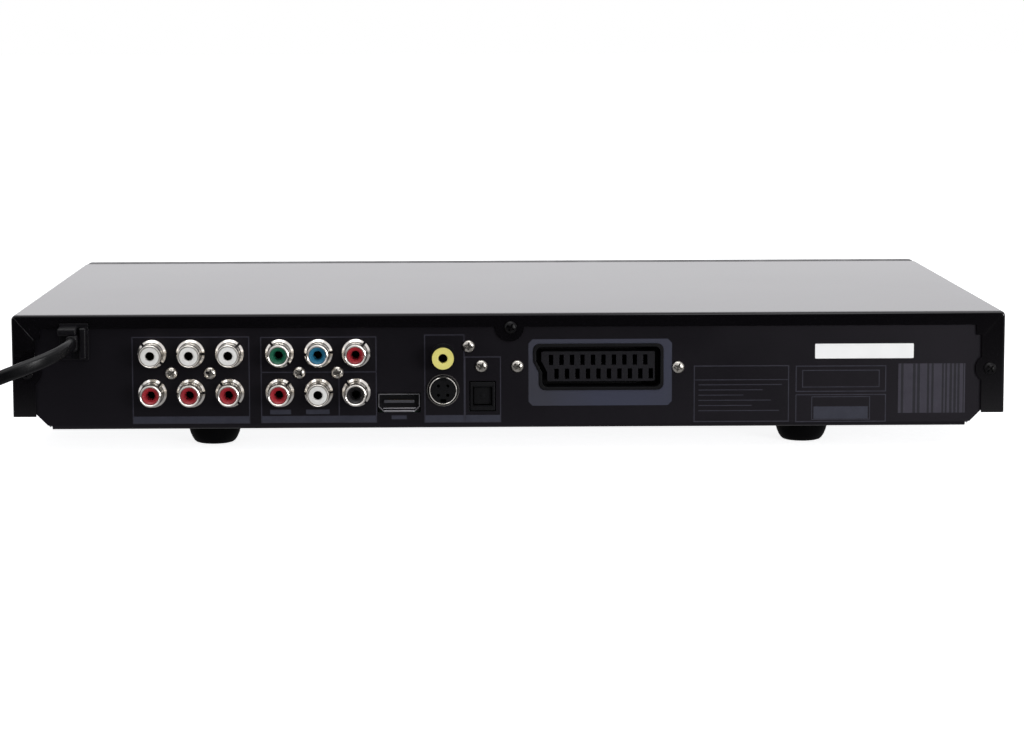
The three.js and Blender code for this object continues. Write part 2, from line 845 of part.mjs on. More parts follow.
// Front bezel: moulded shell with the tray slot, the window opening and the button holes
const keyRow = [
  ['open_close_button', windowLeft + keyWidth / 2],
  ['play_button', windowLeft + keyWidth / 2 + keyPitch],
  ['stop_button', windowLeft + keyWidth / 2 + 2 * keyPitch],
];
function keyOutline(x, grow) {
  return roundedRect(x - keyWidth / 2 - grow, x + keyWidth / 2 + grow,
    keyHeightAt - keyHeight / 2 - grow, keyHeightAt + keyHeight / 2 + grow, keyCorner + grow);
}
function windowOutline(grow) {
  return roundedRect(windowLeft - grow, windowLeft + windowWidth + grow,
    windowBottom - grow, windowBottom + windowHeight + grow, windowCorner + grow);
}
function frontBezel() {
  const y0 = front;
  const y1 = front + bezelDepth;
  const through = [y0 - overrun, y0 + bezelWall + overrun];
  const shell = alongY(roundedRect(-half, half, bezelBottom, bodyHeight, bezelCorner), y0, y1 + bezelDepth,
    bezelEdge);
  const removed = [
    block(-half - overrun, half + overrun, y1, y1 + 2 * bezelDepth, -overrun, bodyHeight + overrun),
    block(-half + bezelRim, half - bezelRim, y0 + bezelWall, y1 + overrun,
      bezelBottom + bezelRim, bodyHeight - bezelRim),
    alongY(roundedRect(-doorHole, doorHole, trayDoorBottom - slotPlay, trayDoorTop + slotPlay,
      trayDoorCorner), ...through),
    alongY(windowOutline(fit), ...through),
    rodAlongY(powerX, powerZ, powerRadius + fit, ...through),
  ];
  for (const [, x] of keyRow) removed.push(alongY(keyOutline(x, fit), ...through));
  return carve([shell], removed);
}
place('front_bezel', frontBezel(), blackAbs);

function displayWindow() {
  const pane = alongY(windowOutline(0), front + windowRecess, front + bezelWall + fit + windowLipThick);
  const lipY = front + bezelWall + fit;
  return carve([pane, alongY(windowOutline(windowLip), lipY, lipY + windowLipThick)]);
}
place('display_window', displayWindow(), smokedWindow);

// Buttons: a cap through the bezel, a flange behind its wall and a stem to the switch
function buttonSolid(cap, flange, x, z) {
  const flangeY = front + bezelWall + fit;
  const stemY = flangeY + buttonFlangeThick;
  return carve([
    alongY(cap, front - buttonProud, stemY),
    alongY(flange, flangeY, stemY),
    block(x - buttonStemHalf, x + buttonStemHalf, stemY - fit, stemY + buttonStem,
      z - buttonStemHalf, z + buttonStemHalf),
  ]);
}
for (const [name, x] of keyRow) {
  place(name, buttonSolid(keyOutline(x, 0), keyOutline(x, buttonFlangeLip), x, keyHeightAt), blackAbs);
}
place('power_button', buttonSolid(
  roundedRect(powerX - powerRadius, powerX + powerRadius, powerZ - powerRadius, powerZ + powerRadius,
    powerRadius),
  roundedRect(powerX - powerRadius - buttonFlangeLip, powerX + powerRadius + buttonFlangeLip,
    powerZ - powerRadius - buttonFlangeLip, powerZ + powerRadius + buttonFlangeLip,
    powerRadius + buttonFlangeLip), powerX, powerZ,
), blackAbs);

// Front board: display module and the push switches behind the buttons
function frontBoard() {
  const boardY = front + frontBoardSetback;
  const switchY = front + bezelWall + fit + buttonFlangeThick + buttonStem + buttonTravel + fit;
  const added = [
    block(frontBoardLeft, frontBoardRight, boardY, boardY + boardThick, frontBoardBottom, frontBoardTop),
    block(windowLeft + displayInset, windowLeft + windowWidth - displayInset,
      front + bezelWall + windowLipThick + 2 * fit, boardY + boardThick / 2,
      windowBottom, windowBottom + windowHeight),
  ];
  for (const [x, z] of [...keyRow.map(([, x]) => [x, keyHeightAt]), [powerX, powerZ]]) {
    added.push(block(x - switchHalf, x + switchHalf, switchY, boardY + boardThick / 2,
      z - switchHalf, z + switchHalf));
  }
  return carve(added);
}
place('front_board', frontBoard(), boardGreen);

// Disc tray: recessed for large and small discs, open from the hub to its rear edge for the pickup
function discTray() {
  const y0 = front + trayDoorThick + fit;
  const y1 = front + trayLength;
  const tail = front + runnerTail;
  const removed = [
    rodAlongZ(0, spindleY, discRadius + recessPlay, recessFloor, trayTop + overrun, 2 * roundSides),
    rodAlongZ(0, spindleY, smallRecessRadius, recessFloor - smallRecessDepth, trayTop, roundSides),
    rodAlongZ(0, spindleY, trayHubRadius, trayFloorBottom - overrun, trayTop, roundSides),
    block(-traySlotHalf, traySlotHalf, spindleY, y1 + overrun, rimBottom - overrun, trayTop + overrun),
  ];
  for (const side of [-1, 1]) {
    removed.push(rodAlongZ(side * fingerWellSpread, spindleY - fingerWellSpread, fingerWellRadius,
      recessFloor, trayTop + overrun, roundSides));
  }
  const added = [
    block(-rimHalf, rimHalf, y0, y1, trayFloorBottom, trayTop),
    alongZ(rackOutline(), rackBottom, trayFloorBottom + fit),
  ];
  for (const side of [-1, 1]) {
    added.push(block(side * (rimHalf - loaderWall), side * rimHalf, y0, y1, rimBottom, trayTop));
    added.push(block(side * (rimHalf - fit), side * runnerHalf, y0, tail, rimBottom, runnerTop));
    added.push(block(side * (runnerHalf - runnerTailWidth), side * runnerHalf, y1 - fit, tail,
      rimBottom, runnerTop));
  }
  return carve(added, removed);
}
place('disc_tray', discTray(), blackAbs);

function trayDoor() {
  return alongY(roundedRect(-trayDoorHalf, trayDoorHalf, trayDoorBottom, trayDoorTop, trayDoorCorner),
    front, front + trayDoorThick);
}
place('tray_front', trayDoor(), blackAbs);

// Loader frame: moulded sides with runner ledges, the gear deck, the slider rail and the pivot cheeks
function loaderFrame() {
  const y0 = front + loaderSetback;
  const y1 = front + loaderEnd;
  const inside = loaderHalf - loaderWall;
  const cheekX = traverseHalf + cheekDrop / 2;
  const added = [
    block(-inside - fit, inside + fit, y0, y0 + loaderFrontThick, loaderBottom, loaderFrontTop),
    block(-inside - fit, inside + fit, y0, front + deckRear, deckTop - deckThick, deckTop),
    block(-inside - fit, inside + fit, front + sliderRailFront, front + sliderRailRear,
      sliderRailTop - sliderRailThick, sliderRailTop),
    block(-inside - fit, inside + fit, y1 - crossbarDepth, y1, loaderBottom, crossbarTop),
    rodAlongZ(gearX, gearY, gearPin, deckTop - fit, rackGearTop, pinSides),
    rodAlongZ(pulleyX, gearY, gearPin, deckTop - fit, reducerBottom + reducerThick, pinSides),
  ];
  for (const side of [-1, 1]) {
    added.push(block(side * inside, side * loaderHalf, y0, y1, loaderBottom, loaderTop));
    added.push(block(side * (inside - ledgeReach), side * (inside + fit), y0, y1,
      rimBottom - fit - runnerLedgeThick, rimBottom - fit));
    added.push(block(side * (inside - ledgeReach), side * (inside + fit), y0, y1,
      runnerTop + fit, runnerTop + fit + runnerLipThick));
    added.push(block(side * cheekX, side * (cheekX + pivotCheek), pivotY - crossbarDepth,
      y1 - crossbarDepth / 2, crossbarTop - crossbarDepth, pivotUprightTop));
    for (const y of [y0 + loaderLugLength, y1 - loaderLugLength]) {
      added.push(block(side * (loaderHalf - fit), side * (loaderHalf + loaderLug),
        y - loaderLugLength / 2, y + loaderLugLength / 2, loaderBottom, loaderBottom + loaderLugThick));
    }
  }
  const removed = [
    rodAlongZ(motorX, gearY, motorBoss + fit, deckTop - deckThick - overrun, deckTop + overrun),
    rodAlongX(pivotY, pivotHeight, gearBore, -loaderHalf + loaderWall, loaderHalf - loaderWall, pinSides),
  ];
  return carve(added, removed);
}
place('loader_frame', loaderFrame(), greyAbs);

// Loading motor under the deck, its pulley, the belt and the pulley gear
function loadingMotor() {
  return carve([
    rodAlongZ(0, 0, motorRadius, motorBottom, motorTop),
    rodAlongZ(0, 0, motorBoss, motorTop - fit, deckTop, pinSides),
    rodAlongZ(0, 0, motorShaft, deckTop - fit, pulleyBottom + pulleyThick, postSides),
  ]);
}
place('loading_motor', loadingMotor(), polishedSteel).position.set(motorX, gearY, 0);

function pulleyProfile(bore, track, rim) {
  const top = pulleyBottom + pulleyThick;
  const middle = pulleyBottom + pulleyThick / 2;
  const grooveHalf = beltSize / 2 + fit;
  return [
    [bore, pulleyBottom], [rim, pulleyBottom], [rim, middle - grooveHalf - fit],
    [track, middle - grooveHalf], [track, middle + grooveHalf], [rim, middle + grooveHalf + fit],
    [rim, top], [bore, top], [bore, pulleyBottom],
  ];
}
place('motor_pulley', turned(pulleyProfile(motorShaftBore, motorTrack, motorPulleyRadius), pinSides * 2),
  turnedBrass).position.set(motorX, gearY, 0);

function pulleyGear() {
  const top = reducerBottom + reducerThick;
  return carve([
    turned(pulleyProfile(gearBore, beltTrack, pulleyRadius)),
    gear(pinionTeeth, reducerModule, pulleyBottom + pulleyThick - fit, top, Math.PI / pinionTeeth),
  ], [rodAlongZ(0, 0, gearBore, pulleyBottom - overrun, top + overrun, pinSides)]);
}
place('pulley_gear', pulleyGear(), acetalWhite).position.set(pulleyX, gearY, 0);

function trayGear() {
  const bore = rodAlongZ(0, 0, gearBore, reducerBottom - overrun, rackGearTop + overrun, pinSides);
  return carve([
    gear(reducerTeeth, reducerModule, reducerBottom, reducerBottom + reducerThick, 0),
    gear(rackGearTeeth, rackModule, reducerBottom + reducerThick - fit, rackGearTop, 0),
  ], [bore]);
}
place('tray_gear', trayGear(), acetalWhite).position.set(gearX, gearY, 0);

// Drive belt: a square-section loop that wraps both pulleys, built as a ring of sections
function driveBelt() {
  const span = pulleyX - motorX;
  const lean = Math.asin((beltRadius - beltMotorRadius) / span);
  const route = [];
  const wrap = (centreX, radius, from, to) => {
    for (let step = 0; step <= beltSteps; step += 1) {
      const angle = from + (to - from) * step / beltSteps;
      route.push([centreX, radius, angle]);
    }
  };
  wrap(pulleyX, beltRadius, -Math.PI / 2 - lean, Math.PI / 2 + lean);
  wrap(motorX, beltMotorRadius, Math.PI / 2 + lean, Math.PI * 1.5 - lean);
  const ring = (offset) => outline(route.map(([centreX, radius, angle]) => [
    centreX + (radius + offset) * Math.cos(angle), (radius + offset) * Math.sin(angle),
  ]));
  const middle = pulleyBottom + pulleyThick / 2;
  const outer = alongZ(ring(beltSize / 2), middle - beltSize / 2, middle + beltSize / 2);
  const inner = alongZ(ring(-beltSize / 2), middle - beltSize, middle + beltSize);
  return carve([outer], [inner]);
}
place('drive_belt', driveBelt(), beltRubber).position.set(0, gearY, 0);

// Cam slider: its slanted slot lowers the traverse's front pin as the slider crosses the deck
function camSlider() {
  const slotRadius = pivotPin + slotClearance;
  const slotLength = Math.hypot(sliderTravel, pinDrop);
  const slope = Math.atan2(pinDrop, sliderTravel);
  const y0 = front + sliderFront;
  const y1 = y0 + sliderThick;
  const slot = roundedRect(-slotLength - slotRadius, slotRadius, -slotRadius, slotRadius, slotRadius);
  const cutter = alongY(slot, y0 - overrun, y1 + overrun).rotateY(-slope);
  return carve([block(-sliderHalf, sliderHalf, y0, y1, sliderBottom, sliderTop)],
    [cutter.translate(0, 0, traversePinHeight)]);
}
place('cam_slider', camSlider(), acetalWhite);

// Clamp bridge: a steel strip across the loader, folded along both edges, that carries the clamper
function clampBridge() {
  const top = bridgeBottom + bridgeWall;
  const added = [block(-loaderHalf, loaderHalf, -bridgeHalfDepth, bridgeHalfDepth, bridgeBottom, top)];
  for (const side of [-1, 1]) {
    added.push(block(-loaderHalf, loaderHalf, side * (bridgeHalfDepth - bridgeWall), side * bridgeHalfDepth,
      bridgeBottom, top + bridgeFlange));
  }
  const hole = rodAlongZ(0, 0, bridgeHole, bridgeBottom - overrun, top + overrun);
  return carve(added, [hole]);
}
place('clamp_bridge', clampBridge(), zincSteel).position.set(0, spindleY, 0);

function discClamper() {
  const seat = bridgeBottom + bridgeWall + fit;
  return turned([
    [0, clamperBottom + clamperPocketDepth], [clamperPocketRadius, clamperBottom + clamperPocketDepth],
    [clamperPocketRadius, clamperBottom], [clamperRadius, clamperBottom],
    [clamperRadius, clamperBottom + clamperRim], [clamperNeck, clamperBottom + 2 * clamperRim],
    [clamperNeck, seat], [clamperTopRadius, seat], [clamperTopRadius, seat + clamperTopThick],
    [0, seat + clamperTopThick],
  ]);
}
place('disc_clamper', discClamper(), acetalWhite).position.set(0, spindleY, 0);

// Traverse: pivoting plate that carries the spindle, the rods, the pickup and its screw
const traverse = new THREE.Group();
traverse.position.set(0, spindleY, 0);
player.add(traverse);

function traversePlate() {
  const top = traverseBottom + traverseWall;
  const pinY = front + traversePinFront - spindleY;
  const added = [
    block(-traverseHalf, traverseHalf, -traverseFront, traverseRear, traverseBottom, top),
    block(-traverseHornHalf, traverseHornHalf, -traverseFront, -traverseFront + traverseWall,
      traverseBottom - fit, traverseHornTop),
    rodAlongY(0, traversePinHeight, pivotPin, pinY, -traverseFront + fit, pinSides),
    block(screwX - lugHalf, screwX + lugHalf, screwRear - lugThick / 2 + fit, screwRear + lugThick / 2 + fit,
      screwHeight - screwRadius - lugHalf, traverseBottom + fit),
  ];
  const removed = [
    block(-traverseWindowHalf, traverseWindowHalf, traverseWindowFront, traverseWindowRear,
      traverseBottom - overrun, top + overrun),
    rodAlongZ(0, 0, spindleBoss + fit, traverseBottom - overrun, top + overrun),
    rodAlongY(screwX, screwHeight, screwRadius + fit, screwRear - lugThick, screwRear + fit, pinSides),
  ];
  for (const side of [-1, 1]) {
    added.push(block(side * (traverseHalf - pivotPin), side * traverseHalf,
      pivotArm - cheekDrop / 2, traverseRear, pivotHeight - pivotPin, traverseBottom + fit));
    const pinMiddle = side * (traverseHalf + (pivotReach - fit) / 2);
    const pin = rodAlongX(pivotArm, pivotHeight, pivotPin, -fit, pivotReach, pinSides);
    added.push(pin.translate(pinMiddle - (pivotReach - fit) / 2, 0, 0));
    for (const y of [rodFront, rodRear]) {
      added.push(block(side * rodX - lugHalf, side * rodX + lugHalf, y - lugThick / 2, y + lugThick / 2,
        lugBottom, traverseBottom + fit));
    }
    removed.push(rodAlongY(side * rodX, rodHeight, rodRadius + fit, rodFront - lugThick, rodRear + lugThick,
      pinSides));
  }
  return carve(added, removed);
}
place('traverse_plate', traversePlate(), polishedSteel, traverse);

function spindleMotor() {
  return carve([
    rodAlongZ(0, 0, spindleRadius, spindleBottom, traverseBottom - fit),
    rodAlongZ(0, 0, spindleBoss, traverseBottom - 2 * fit, traverseBottom + traverseWall, pinSides),
    rodAlongZ(0, 0, motorShaft, traverseBottom, spindleShaftTop, postSides),
  ]);
}
place('spindle_motor', spindleMotor(), polishedSteel, traverse);

function turntable() {
  return turned([
    [0, spindleShaftTop + fit], [motorShaftBore, spindleShaftTop + fit], [motorShaftBore, turntableBottom],
    [turntableSleeve, turntableBottom], [turntableSleeve, turntableTop - turntableRim - fit],
    [turntableRadius, turntableTop - turntableRim], [turntableRadius, turntableTop],
    [hubRadius, turntableTop], [hubTopRadius, hubTop], [0, hubTop],
  ]);
}
place('turntable', turntable(), blackMoulding, traverse);

for (const [name, side] of [['guide_rod_left', -1], ['guide_rod_right', 1]]) {
  place(name, rodAlongY(side * rodX, rodHeight, rodRadius, rodFront - lugThick / 2, rodRear + lugThick / 2,
    pinSides), polishedSteel, traverse);
}

// Pickup: laser head on the two rods, with an arm to the screw
function opticalPickup() {
  const y0 = pickupFront;
  const y1 = pickupFront + pickupLength;
  const lensY = pickupFront + lensSetback;
  const body = outline([
    [-pickupHalf, pickupBottom], [pickupHalf, pickupBottom], [pickupHalf, pickupTop - pickupShoulder],
    [pickupHalf - pickupShoulder, pickupTop], [-pickupHalf + pickupShoulder, pickupTop],
    [-pickupHalf, pickupTop - pickupShoulder],
  ]);
  const added = [
    alongY(body, y0, y1),
    rodAlongZ(0, lensY, lensMountRadius, pickupTop - fit, lensMountTop),
    rodAlongZ(0, lensY, lensRadius, lensMountTop - fit, lensTop),
    block(screwX + screwRadius + fit, -rodX, y0 + pickupLength / 2 - screwArmWidth / 2,
      y0 + pickupLength / 2 + screwArmWidth / 2, screwHeight - screwArmHalf, screwHeight + screwArmHalf),
  ];
  const removed = [];
  for (const side of [-1, 1]) {
    added.push(block(side * (pickupHalf - fit), side * (rodX + sleeveHalf),
      y0 + sleeveInset, y1 - sleeveInset, rodHeight - sleeveHalf, rodHeight + sleeveHalf));
    removed.push(rodAlongY(side * rodX, rodHeight, rodRadius + fit, y0 - overrun, y1 + overrun, pinSides));
  }
  return carve(added, removed);
}
place('optical_pickup', opticalPickup(), blackMoulding, traverse);

place('sled_motor', rodAlongY(screwX, screwHeight, sledMotorRadius, screwFront - fit - sledMotorLength,
  screwFront - fit), polishedSteel, traverse);
place('sled_screw', rodAlongY(screwX, screwHeight, screwRadius, screwFront, screwRear - fit, pinSides),
  polishedSteel, traverse);

// Main board: L-shaped, along the connectors and beside the loader, with its tallest components
function mainBoard() {
  const rear = panelBack - boardGap;
  const sheet = outline([
    [mainBoardRight, rear], [mainBoardRight, -mainBoardDepth], [mainBoardWing, -mainBoardDepth],
    [mainBoardWing, -mainBoardStrip], [mainBoardLeft, -mainBoardStrip], [mainBoardLeft, rear],
  ]);
  const sink = boardTop - boardThick / 2;
  const wingMiddle = (mainBoardRight + mainBoardWing) / 2;
  const added = [
    alongZ(sheet, boardBottom, boardTop),
    block(wingMiddle - chipHalf, wingMiddle + chipHalf, -mainBoardDepth / 2 - chipHalf,
      -mainBoardDepth / 2 + chipHalf, sink, boardTop + chipThick),
    block(wingMiddle - chipHalf, wingMiddle + chipHalf, -mainBoardDepth / 3 - chipHalf / 2,
      -mainBoardDepth / 3 + chipHalf / 3, sink, boardTop + chipThick),
  ];
  for (const step of [0, 1, 2]) {
    added.push(rodAlongZ(mainBoardRight + 2 * chipHalf, -mainBoardDepth + chipHalf * (2 + step),
      smallCanRadius, sink, boardTop + smallCanHeight, pinSides));
  }
  return carve(added);
}
place('main_board', mainBoard(), boardGreen);

// Power supply board: transformer, reservoir capacitors and heat sink
function powerBoard() {
  const rear = powerBoardRear;
  const far = powerBoardRear - powerBoardDepth;
  const middleX = (powerBoardLeft + powerBoardRight) / 2;
  const canY = rear - 2 * coreHalf + bigCanRadius;
  const sink = boardTop - boardThick / 2;
  const added = [
    block(powerBoardLeft, powerBoardRight, far, rear, boardBottom, boardTop),
    block(middleX - coreHalf, middleX + coreHalf, (rear + far) / 2 - coreHalf, (rear + far) / 2 + coreHalf,
      sink, boardTop + coreHeight),
    block(middleX - coreHalf - windingInset, middleX + coreHalf + windingInset,
      (rear + far) / 2 - coreHalf + windingInset, (rear + far) / 2 + coreHalf - windingInset,
      sink, boardTop + coreHeight - windingInset),
    rodAlongZ(middleX + coreHalf, canY, bigCanRadius, sink, boardTop + bigCanHeight),
    rodAlongZ(middleX - coreHalf, canY, bigCanRadius, sink, boardTop + bigCanHeight),
    block(middleX - 2 * coreHalf, middleX + coreHalf, far + coreHalf, far + coreHalf + heatSinkWall,
      sink, boardTop + heatSinkHeight),
  ];
  return carve(added);
}
place('power_board', powerBoard(), boardGreen);

// Phono jacks: a black moulded body behind the panel with one insert for each nickel barrel
function insertAt(x, z) {
  return rodAlongY(x, z, insertRadius, panelBack - fit - insertRoot,
    panelFace + barrelLength - insertSetback, insertSides);
}
function insertBoreAt(x, z) {
  const end = panelFace + barrelLength - insertSetback;
  return rodAlongY(x, z, insertBore, end - insertBoreDepth, end + overrun, insertSides / 2);
}
function jackBlock(columns) {
  const x0 = Math.min(...columns) - jackBodyEdge;
  const x1 = Math.max(...columns) + jackBodyEdge;
  const rear = panelBack - fit;
  const places = columns.flatMap((x) => [[x, upperJackZ], [x, lowerJackZ]]);
  return carve(
    [block(x0, x1, rear - jackBodyDepth, rear, boardTop + fit, jackBodyTop),
      ...places.map(([x, z]) => insertAt(x, z))],
    places.map(([x, z]) => insertBoreAt(x, z)),
  );
}
place('surround_jack_block', jackBlock(surroundX), blackMoulding);
place('av_jack_block', jackBlock(avX), blackMoulding);

// Video block: one phono jack over a four-pin mini socket
function videoBlock() {
  const rear = panelBack - fit;
  const coreEnd = panelFace + svideoShellLength - fit;
  const added = [
    block(videoX - videoBodyHalf, videoX + videoBodyHalf, rear - jackBodyDepth, rear,
      boardTop + fit, jackBodyTop),
    insertAt(videoX, videoZ),
    rodAlongY(videoX, svideoZ, svideoCoreRadius, rear - fit, coreEnd),
  ];
  const removed = [
    insertBoreAt(videoX, videoZ),
    block(videoX - svideoKeyHalf, videoX + svideoKeyHalf, coreEnd - svideoPinDepth, coreEnd + overrun,
      svideoZ - svideoCoreRadius - overrun, svideoZ - svideoCoreRadius + svideoKeyHalf),
  ];
  for (const side of [-1, 1]) {
    for (const row of [-1, 1]) {
      removed.push(rodAlongY(videoX + side * svideoPinSpread, svideoZ + row * svideoPinSpread,
        svideoPinRadius, coreEnd - svideoPinDepth, coreEnd + overrun, svideoPinSides));
    }
  }
  return carve(added, removed);
}
place('video_jack_block', videoBlock(), blackMoulding);

const barrel = turnedRearward([
  [barrelBore, 0], [barrelFlangeRadius, 0], [barrelFlangeRadius, barrelFlangeThick],
  [barrelRadius, barrelFlangeThick], [barrelRadius, barrelLength - fit], [barrelBore, barrelLength - fit],
  [barrelBore, 0],
], barrelSides);
const barrelNames = ['surround_upper', 'av_upper', 'surround_lower', 'av_lower']
  .flatMap((row) => [1, 2, 3].map((column) => `barrel_${row}_${column}`));
barrelNames.push('barrel_video');
barrelPlaces().forEach(([x, z], index) => {
  place(barrelNames[index], barrel, nickel).position.set(x, panelFace + fit, z);
});

place('svideo_shell', turnedRearward([
  [svideoShellBore, 0], [svideoShellRadius, 0], [svideoShellRadius, svideoShellLength],
  [svideoShellBore, svideoShellLength], [svideoShellBore, 0],
], roundSides), nickel).position.set(videoX, panelFace + fit, svideoZ);

// Digital video socket: folded steel shell with chamfered lower corners round a contact tongue
function digitalSocket() {
  const mouth = (inset) => {
    const [x0, x1] = [digitalX - digitalWidth / 2 + inset, digitalX + digitalWidth / 2 - inset];
    const [z0, z1] = [digitalBottom + inset, digitalBottom + digitalHeight - inset];
    return outline([
      [x0 + digitalChamfer, z0], [x1 - digitalChamfer, z0], [x1, z0 + digitalChamfer], [x1, z1], [x0, z1],
      [x0, z0 + digitalChamfer],
    ]);
  };
  const y1 = panelFace + digitalProud;
  const tongueTop = digitalBottom + digitalHeight - digitalTongueDrop;
  const shell = solidOf(carve([alongY(mouth(0), y1 - digitalDepth, y1)],
    [alongY(mouth(digitalWall), y1 - digitalCavity, y1 + overrun)]));
  const tongue = solidOf(block(digitalX - digitalTongueWidth / 2, digitalX + digitalTongueWidth / 2,
    y1 - digitalCavity - fit, y1 - digitalWall, tongueTop - digitalTongueThick, tongueTop));
  return geometryOf(shell.add(tongue));
}
place('digital_video_socket', digitalSocket(), nickel);

// Optical socket with a sprung shutter that swings inwards from its top edge
const opticalMouth = panelFace + opticalProud;
function opticalSocket() {
  const port = opticalPort / 2;
  return carve([
    block(opticalX - opticalWidth / 2, opticalX + opticalWidth / 2, opticalMouth - opticalDepth, opticalMouth,
      opticalZ - opticalHeight / 2, opticalZ + opticalHeight / 2),
  ], [
    block(opticalX - port, opticalX + port, opticalMouth - opticalCavity, opticalMouth + overrun,
      opticalZ - port, opticalZ + port),
  ]);
}
place('optical_socket', opticalSocket(), blackMoulding);

const shutterY = opticalMouth - shutterSetback - shutterThick / 2;
const shutterZ = opticalZ + opticalPort / 2 - fit - shutterThick / 2;
function opticalShutter() {
  const reach = opticalPort / 2 - fit;
  return block(-reach, reach, -shutterThick / 2, shutterThick / 2,
    -(opticalPort - 2 * fit - shutterThick / 2), shutterThick / 2);
}
place('optical_shutter', opticalShutter(), blackMoulding).position.set(opticalX, shutterY, shutterZ);

// SCART socket: black body behind the panel, a moat round the contact block and two rows of slots
function scartSocket() {
  const rear = panelBack - fit;
  const face = rear - scartFaceSetback;
  const body = block(scartRight - scartRim, scartLeft + scartRim, rear - scartDepth, rear,
    boardTop + fit, scartTop + scartRim);
  const moat = carve([alongY(scartOutline(0), rear - scartMoatDepth, rear + overrun)],
    [alongY(scartOutline(scartMoat), rear - scartMoatDepth - overrun, face)]);
  const removed = [moat];
  const middleX = (scartLeft - scartStep + scartRight) / 2;
  const middleZ = (scartTop + scartBottom) / 2;
  for (const row of [-1, 1]) {
    for (let contact = 0; contact < scartContacts; contact += 1) {
      const x = middleX + row * scartRowShift + (contact - (scartContacts - 1) / 2) * scartContactPitch;
      const z = middleZ + row * scartRowZ;
      removed.push(block(x - scartSlotWidth / 2, x + scartSlotWidth / 2, face - scartSlotDepth, face + fit,
        z - scartSlotHeight / 2, z + scartSlotHeight / 2));
    }
  }
  return carve([body], removed);
}
place('scart_socket', scartSocket(), blackMoulding);

// Strain relief: moulded bushing snapped into the panel
function strainRelief() {
  const [x0, x1] = [reliefX - reliefWidth / 2, reliefX + reliefWidth / 2];
  const [z0, z1] = [reliefZ - reliefHeight / 2, reliefZ + reliefHeight / 2];
  const side = new THREE.Shape();
  side.moveTo(panelFace + fit, z0);
  side.lineTo(panelFace + reliefReach, z0 + reliefTaper);
  side.lineTo(panelFace + reliefReach, z1 - reliefTaper);
  side.lineTo(panelFace + fit, z1);
  const inner = panelBack - fit;
  return carve([
    alongX(side, x0, x1),
    block(x0 + reliefNeck, x1 - reliefNeck, inner - reliefInner, panelFace + 2 * fit,
      z0 + reliefNeck, z1 - reliefNeck),
    block(x0, x1, inner - reliefInner, inner, z0, z1),
  ]);
}
place('strain_relief', strainRelief(), blackMoulding);

// The player stands on its feet, centred over the origin from the button caps to the barrel ends
const rearReach = panelFace + barrelLength;
const rearY = (bodyDepth + buttonProud - rearReach) / 2;
player.position.set(0, rearY, footHeight);
model.add(player);

// Mains lead: a flat twin cord that leaves the bushing, drops beside the player and runs to the coil
const leadStart = new THREE.Vector3(reliefX, rearY + panelFace + reliefReach + fit, footHeight + reliefZ);
const layerZ = cordWide / 2 + floorGap;
const leadDrop = leadStart.z - layerZ;
const leadRouteShares = [
  [0, 0, 0], [0, 0.217, 0.004], [0.013, 0.435, 0.026], [0.045, 0.643, 0.063], [0.095, 0.809, 0.109],
  [0.157, 0.922, 0.162], [0.228, 0.983, 0.222], [0.303, 1, 0.292], [0.381, 1, 0.387], [0.458, 1, 0.516],
  [0.535, 1, 0.662], [0.617, 1, 0.808], [0.705, 1, 0.92], [0.796, 1, 0.982], [0.892, 1, 0.999], [1, 1, 1],
];
const leadPoints = leadRouteShares.map(([run, out, drop]) => (
  new THREE.Vector3(run * leadRun, out * leadOut, -drop * leadDrop).add(leadStart)
));
const coilOuter = coilMiddleRadius + coilPitch * coilLoops / 4;
const coilStart = new THREE.Vector3(coilCentreX, leadStart.y + leadOut, layerZ);
leadPoints.push(new THREE.Vector3(coilStart.x - cordWide - fit, coilStart.y, layerZ));
const leadCurve = new THREE.CatmullRomCurve3(leadPoints, false, 'centripetal');
// The cord stands on its narrow edge all along
function sweptCord(route, sides) {
  const up = new THREE.Vector3(0, 0, 1);
  const corners = [];
  route.forEach((point, index) => {
    const before = route[Math.max(index - 1, 0)];
    const after = route[Math.min(index + 1, route.length - 1)];
    const along = after.clone().sub(before).normalize();
    const across = along.clone().cross(up).normalize();
    const upward = across.clone().cross(along);
    for (let side = 0; side < sides; side += 1) {
      const angle = 2 * Math.PI * (side + 0.5) / sides;
      const corner = point.clone()
        .addScaledVector(across, cordThick / 2 * Math.cos(angle))
        .addScaledVector(upward, cordWide / 2 * Math.sin(angle));
      corners.push(corner.x, corner.y, corner.z);
    }
  });
  const triangles = [];
  const rings = route.length;
  for (let ring = 0; ring < rings - 1; ring += 1) {
    for (let side = 0; side < sides; side += 1) {
      const next = (side + 1) % sides;
      const [a, b] = [ring * sides + side, ring * sides + next];
      triangles.push(a, a + sides, b, b, a + sides, b + sides);
    }
  }
  const last = (rings - 1) * sides;
  for (let side = 1; side < sides - 1; side += 1) {
    triangles.push(0, side, side + 1, last, last + side + 1, last + side);
  }
  const geometry = new THREE.BufferGeometry();
  geometry.setAttribute('position', new THREE.Float32BufferAttribute(corners, 3));
  geometry.setIndex(triangles);
  return geometry;
}
place('cord_lead', sweptCord(leadCurve.getSpacedPoints(leadSteps), leadSides), rubberBlack, model);

